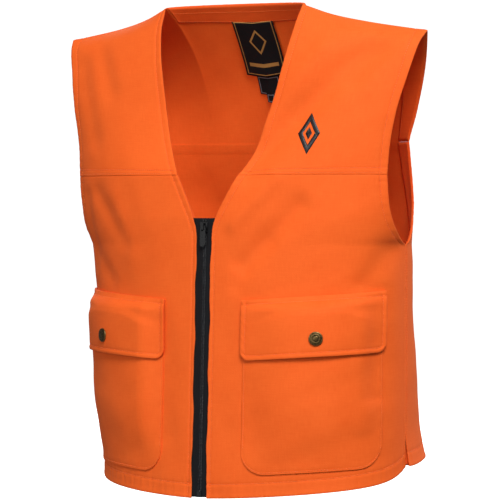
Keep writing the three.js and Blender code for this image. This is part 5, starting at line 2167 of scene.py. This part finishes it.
@dataclass
class Zip:
    """The separating zip: tapes and elements over the frame's slider, pull, stops, pin and box."""

    top: float = 356.0
    chain_foot: float = 9.0
    pin: float = 9.0
    inner: float = 0.04
    outer: float = 2.9
    clear: float = 0.39  # clears the slider's spine
    low_stop: float = 24.0
    high_stop: float = 335.5
    thick: float = 2.5
    tape_width: float = 15.0
    pitch: float = 1.9  # real pitch 1.4 mm, opened so that the elements show

    def parted(self, z: Array) -> Array:
        """Whether the rows stand apart at a height, for the slider at the end of its travel."""
        return (z > self.high_stop) | (z < self.low_stop)

    def frame(self) -> tuple[Array, Array, Array]:
        """The zip's foot, and its outward and upward directions."""
        front = SHELL.front_depth
        lean = math.atan2(front[0] - front[1], self.top)
        outward = np.array([0, -math.cos(lean), -math.sin(lean)])
        upward = np.array([0, math.sin(lean), math.cos(lean)])
        return np.array([0, -front[0], 0.0]), outward, upward

    def at(self, x: Array, depth: Array, z: Array) -> Array:
        """Points at x, a height off the zip's plane and a length up it.

        Args:
            x: distances from the middle.
            depth: heights off the zip's plane.
            z: lengths up the zip.

        Returns:
            The points.
        """
        foot, outward, upward = self.frame()
        x, depth, z = np.broadcast_arrays(x, depth, z)
        side = np.array([1.0, 0, 0])
        return foot + x[..., None] * side + depth[..., None] * outward + z[..., None] * upward

    def make_tape(self, side: Side) -> Any:
        """One tape, with a corded edge beside the elements.

        Args:
            side: left or right.

        Returns:
            The object.
        """
        name, m = side.value, side.mirror
        front = -(CLOTH.inside + CLOTH.edge_sag)
        z = np.linspace(1.5, self.top, fine(160))[None, :]
        across = spots([0, 0.02, 0.04, 0.06, 0.1, 0.18, 0.24, 0.3, 0.4, 0.6, 1])[:, None]
        # The woven edge runs on between the elements, and stands clear of the slider's spine.
        near = np.where(self.parted(z), self.clear, 0.1)
        x = lerp(near, self.outer + CLOTH.gap + self.tape_width, across)
        z = np.broadcast_to(z, x.shape)
        cord = 0.45 * bump(x - self.outer - 1.2, 0.8)
        # Where the rows stand apart, a bead along the woven edge closes the view between them.
        bead = 0.75 * smooth((1.0 - x + near) / 0.5) * (self.parted(z) & (z > self.chain_foot + 0.3))
        outer = self.at(m * x, front + cord + bead, z)
        inner = self.at(m * x, front - CLOTH.tape_thick - bead, z)
        obj = slab(f"ZipTape_{name}", outer, inner, np.stack([x * m, z], axis=-1))
        dress(obj, TAPE, Ride(f"{name}_front"), f"zip_tape_{name}")
        return obj

    def make_elements(self, side: Side) -> Any:
        """One row of elements, each a rounded lug with a head at the centre.

        Args:
            side: left or right.

        Returns:
            The object.
        """
        name, m = side.value, side.mirror
        foot = self.chain_foot + (0.3 if side is Side.LEFT else self.pin)
        shift = 0.0 if side is Side.LEFT else self.pitch / 2
        tops = np.arange(foot + shift + 0.8, self.top - 5.6, self.pitch)
        middle = -(CLOTH.inside + CLOTH.edge_sag) - CLOTH.tape_thick / 2
        ring = [(0.36, 0.5), (0.5, 0.2), (0.5, -0.2), (0.36, -0.5)]
        ring = ring + [(-a, -b) for a, b in ring]
        tall, deep = 1.75, self.thick
        # The heads of the two rows meet; where the slider stops at either end they stand apart.
        start = np.where(self.parted(tops), self.clear, self.inner)
        sizes = [(0.0, 0.72), (0.3, 1.0), (0.9, 0.8), (1.8, 0.9), (2.3, 0.75)]
        points = []
        for x, scale in sizes:
            across = lerp(start, self.outer, x / 2.3)
            for a, b in ring:
                points.append(self.at(m * across, middle + b * deep * scale, tops + a * tall * scale))
        points = np.stack(points, axis=1).reshape(-1, 3)
        count, k = len(ring), np.arange(len(ring))
        quads = tube_faces(len(sizes), count)
        ends = np.array([k[::-1], k + (len(sizes) - 1) * count])
        stride = count * len(sizes) * np.arange(len(tops))
        quads = (quads[None] + stride[:, None, None]).reshape(-1, 4)
        ends = (ends[None] + stride[:, None, None]).reshape(-1, count)
        if m < 0:
            quads, ends = quads[:, ::-1], ends[:, ::-1]
        obj = make_object(f"ZipElements_{name}", points, [quads, ends])
        return dress(obj, NYLON, Ride(f"{name}_front"), f"zip_chain_{name}")

    def make(self) -> None:
        """Makes the tapes and elements."""
        for side in Side:
            self.make_tape(side)
            self.make_elements(side)


@dataclass
class Labels:
    """The woven labels inside the back neck and the emblem on the chest."""

    width: float = 60.0
    length: float = 84.0
    care_width: float = 32.0
    care_length: float = 26.0
    tab_width: float = 11.0
    thick: float = 0.7
    emblem_x: float = 132.0
    emblem_z: float = 463.0
    emblem_width: float = 30.0
    emblem_height: float = 54.0

    def __post_init__(self) -> None:
        """Works out where each label ends, as shares of the yoke's height."""
        self.yoke = BackYokeSurface()
        drop = SHELL.back_neck_z - SHELL.back_yoke_z
        self.top = 0.875
        self.foot = self.top - self.length / (1.16 * drop)
        self.care_foot = self.foot - self.care_length / (1.1 * drop)
        self.depth = CLOTH.inside + CLOTH.facing + 1.2

    def share_at(self, x: Array, v: Array) -> Array:
        """Signed share of the yoke's half width at which it has a given x."""
        return halve(lambda u: self.yoke.point(u, v)[..., 0] < x, x.shape, -1.0, 1.0)

    def make_label(
        self, name: str, width: float, ends: tuple[float, float], depth: float, finish: Finish, node: str,
    ) -> Any:
        """One label.

        Args:
            name: name of the piece.
            width: its width.
            ends: shares of the yoke's height at its foot and top.
            depth: depth of its outer face behind the yoke's.
            finish: its finish.
            node: the CAD node that it stands for.

        Returns:
            The object.
        """
        x, v = grid_of(np.linspace(-width / 2, width / 2, 17), np.linspace(*ends, 25))
        u = self.share_at(x, v)
        curl = 1.2 * ((v - ends[1]) / (ends[0] - ends[1])) ** 2 * (0.6 + 0.4 * np.cos(x / width * 7))
        return cloth_piece(
            name, self.yoke, u, v, -depth - curl, self.thick, finish, Ride("shell"), [node],
        )

    def make_emblem(self) -> Any:
        """A plain lozenge ring round a small lozenge, in raised satin stitch."""
        surface = FrontYokeSurface(Side.LEFT)
        parts, faces, coords, total = [], [], [], 0
        for outer, inner in ((1.0, 0.56), (0.3, 0.0)):
            turns, steps = 48, 7
            t = np.linspace(0, 4, turns, endpoint=False)[:, None]
            k = np.floor(t)
            f = t - k
            corners = np.array([(1, 0), (0, 1), (-1, 0), (0, -1), (1, 0)], float)
            here = corners[k.astype(int)[:, 0]][:, None] * (1 - f)[..., None]
            there = corners[k.astype(int)[:, 0] + 1][:, None] * f[..., None]
            direction = here + there
            r = np.linspace(outer, max(inner, 0.01), steps)[None, :]
            x = self.emblem_x + direction[..., 0] * r * self.emblem_width / 2
            z = self.emblem_z + direction[..., 1] * r * self.emblem_height / 2
            u, v = np.full(x.shape, 0.5), np.full(x.shape, 0.5)
            for _ in range(6):
                u = halve(lambda q: surface.point(q, v)[..., 0] < x, x.shape, 0.0, 1.0)
                v = halve(lambda q: surface.point(u, q)[..., 2] < z, x.shape, 0.0, 1.0)
            share = np.linspace(0, 1, steps)[None, :]
            rounded = np.sqrt(np.clip(1 - (2 * share - 1) ** 2, 0, 1))
            crown = 0.35 + (rounded if inner else share ** 0.5)
            parts.append(surface.place(u, v, np.broadcast_to(crown, x.shape)).reshape(-1, 3))
            # Threads run across the ring, so the lines follow its sides.
            run = np.broadcast_to(t * 15.3, x.shape)
            coords.append(np.stack([run, share * 8 + 0 * run], axis=-1).reshape(-1, 2) / 1000)
            i = np.arange(turns)[:, None] * steps
            j = np.arange(steps - 1)[None, :]
            n = (np.arange(turns)[:, None] + 1) % turns * steps
            quad = np.stack([i + j, n + j, n + j + 1, i + j + 1], axis=-1).reshape(-1, 4)
            faces.append(quad[:, ::-1] + total)
            total += turns * steps
        obj = make_object(
            "ChestEmblem", np.concatenate(parts), [np.concatenate(faces)], np.concatenate(coords),
        )
        return dress(obj, SATIN, front_ride(Side.LEFT), "chest_emblem")

    def make(self) -> None:
        """Makes the labels and the emblem."""
        self.make_label("MainLabel", self.width, (self.foot, self.top), self.depth, LABEL, "main_label")
        self.make_label(
            "CareLabel", self.care_width, (self.care_foot, self.foot + 0.06), self.depth - 1.5, CARE,
            "care_label",
        )
        self.make_label(
            "SizeTab", self.tab_width, (self.care_foot - 0.05, self.care_foot + 0.03), self.depth - 0.2,
            TAB, "size_tab",
        )
        self.make_emblem()


@dataclass
class Studio:
    """A pale sweep, soft lights and the camera."""

    azimuth: float = 28.05
    elevation: float = 0.52
    distance: float = 4.409
    lens: float = 244.0
    aim_z: float = -0.3157
    aim_right: float = 0.0062
    light_away: float = 5.0
    light_aim_z: float = -0.3
    glow: float = 0.2
    floor_reach: float = 18000.0  # the sweep is worked out in millimetres
    floor_radius: float = 6500.0
    bend: float = 2500.0
    floor_drop: float = 160.0

    def make_sweep(self) -> None:
        """A round floor that curves up into a wall, so every side of the vest has it behind."""
        x, y = grid_of(np.linspace(-1, 1, 49), np.linspace(-1, 1, 49))
        path = np.maximum(np.abs(x), np.abs(y)) * self.floor_reach
        turn = np.clip((path - self.floor_radius) / self.bend, 0, math.pi / 2)
        radius = np.minimum(path, self.floor_radius) + self.bend * np.sin(turn)
        wall = np.maximum(path - self.floor_radius - self.bend * math.pi / 2, 0)
        height = self.bend - self.bend * np.cos(turn) + wall
        away = radius / np.maximum(np.hypot(x, y), 1e-9)
        points = vec(x * away, y * away, height - self.floor_drop)
        ids = np.arange(x.size).reshape(x.shape)
        quads = np.stack([ids[:-1, :-1], ids[1:, :-1], ids[1:, 1:], ids[:-1, 1:]], axis=-1).reshape(-1, 4)
        sweep = make_object("Sweep", points.reshape(-1, 3), [quads])
        sweep.data.materials.append(BOARD.material())
        # The lamps and the world light the vest; the sweep is only seen, so that it stays even.
        sweep.visible_diffuse = False
        sweep.visible_glossy = False
        sweep.visible_shadow = False

    def back_from(self, azimuth: float, elevation: float) -> Array:
        """Direction from the vest at an azimuth from the front and an elevation, in degrees."""
        a, e = math.radians(azimuth), math.radians(elevation)
        return np.array([math.sin(a) * math.cos(e), -math.cos(a) * math.cos(e), math.sin(e)])

    def make_light(
        self, name: str, azimuth: float, elevation: float, size: float, power: float,
    ) -> None:
        """One soft area light that faces the vest.

        Args:
            name: name of the light.
            azimuth: degrees round from the front towards the wearer's left.
            elevation: degrees above the horizon.
            size: side of the light in metres.
            power: power in watts.
        """
        data = bpy.data.lights.new(name, "AREA")
        data.shape = "DISK"
        data.size = size
        data.energy = power
        obj = bpy.data.objects.new(name, data)
        bpy.context.scene.collection.objects.link(obj)
        back = self.back_from(azimuth, elevation)
        obj.location = np.array([0, 0, self.light_aim_z]) + back * self.light_away
        self.aim(obj, -back)

    def aim(self, obj: Any, direction: Array) -> None:
        """Turns a light or camera to look along a direction."""
        obj.rotation_euler = Vector(direction).to_track_quat("-Z", "Y").to_euler()

    def make_camera(self) -> None:
        """The camera, level with the vest and round to the wearer's left."""
        right = np.array([math.cos(math.radians(self.azimuth)), math.sin(math.radians(self.azimuth)), 0])
        back = self.back_from(self.azimuth, self.elevation)
        data = bpy.data.cameras.new("Camera")
        data.lens = self.lens
        data.sensor_width = 36.0
        data.clip_end = 60.0
        obj = bpy.data.objects.new("Camera", data)
        bpy.context.scene.collection.objects.link(obj)
        obj.location = np.array([0, 0, self.aim_z]) + right * self.aim_right + back * self.distance
        self.aim(obj, -back)
        bpy.context.scene.camera = obj

    def make_world(self) -> None:
        """A dim even glow all round."""
        world = bpy.data.worlds.new("Studio")
        world.use_nodes = True
        inputs = world.node_tree.nodes["Background"].inputs
        inputs["Color"].default_value = linear("#ffffff")
        inputs["Strength"].default_value = self.glow
        bpy.context.scene.world = world

    def make(self) -> None:
        """Makes the stage."""
        bpy.context.scene.view_settings.view_transform = "Standard"
        self.make_world()
        self.make_sweep()
        self.make_light("Key", 38, 42, 2.4, 250)
        self.make_light("Fill", -10, 8, 3.0, 60)
        self.make_light("Rim", 150, 30, 2.6, 90)
        self.make_light("Nape", 215, 25, 2.6, 90)
        self.make_camera()


def dress_carried() -> None:
    """Gives the frame's own nodes that stay in view their finishes."""
    zinc = ["zip_slider", "zip_pull", "zip_retainer_box", "zip_insertion_pin"]
    zinc += [f"zip_top_stop_{side.value}" for side in Side]
    brass = [f"snap_{part}_{side.value}" for part in ("socket", "stud", "eyelet") for side in Side]
    for names, finish in ((zinc, ZINC), (brass, BRASS)):
        for name in names:
            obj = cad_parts[name]
            obj.data.materials.clear()
            obj.data.materials.append(finish.material())
            LOG.info("%s: carried, %s", name, finish.slot)


def main() -> None:
    """Builds the vest in order and the studio round it."""
    logging.basicConfig(level=logging.INFO, format="%(name)s %(message)s")
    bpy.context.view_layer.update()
    Studio().make()
    BackBody().make()
    for side in Side:
        FrontHalf(side).make()
        Pocket(side).make()
    Zip().make()
    Labels().make()
    dress_carried()


if __name__ == "__main__":
    main()
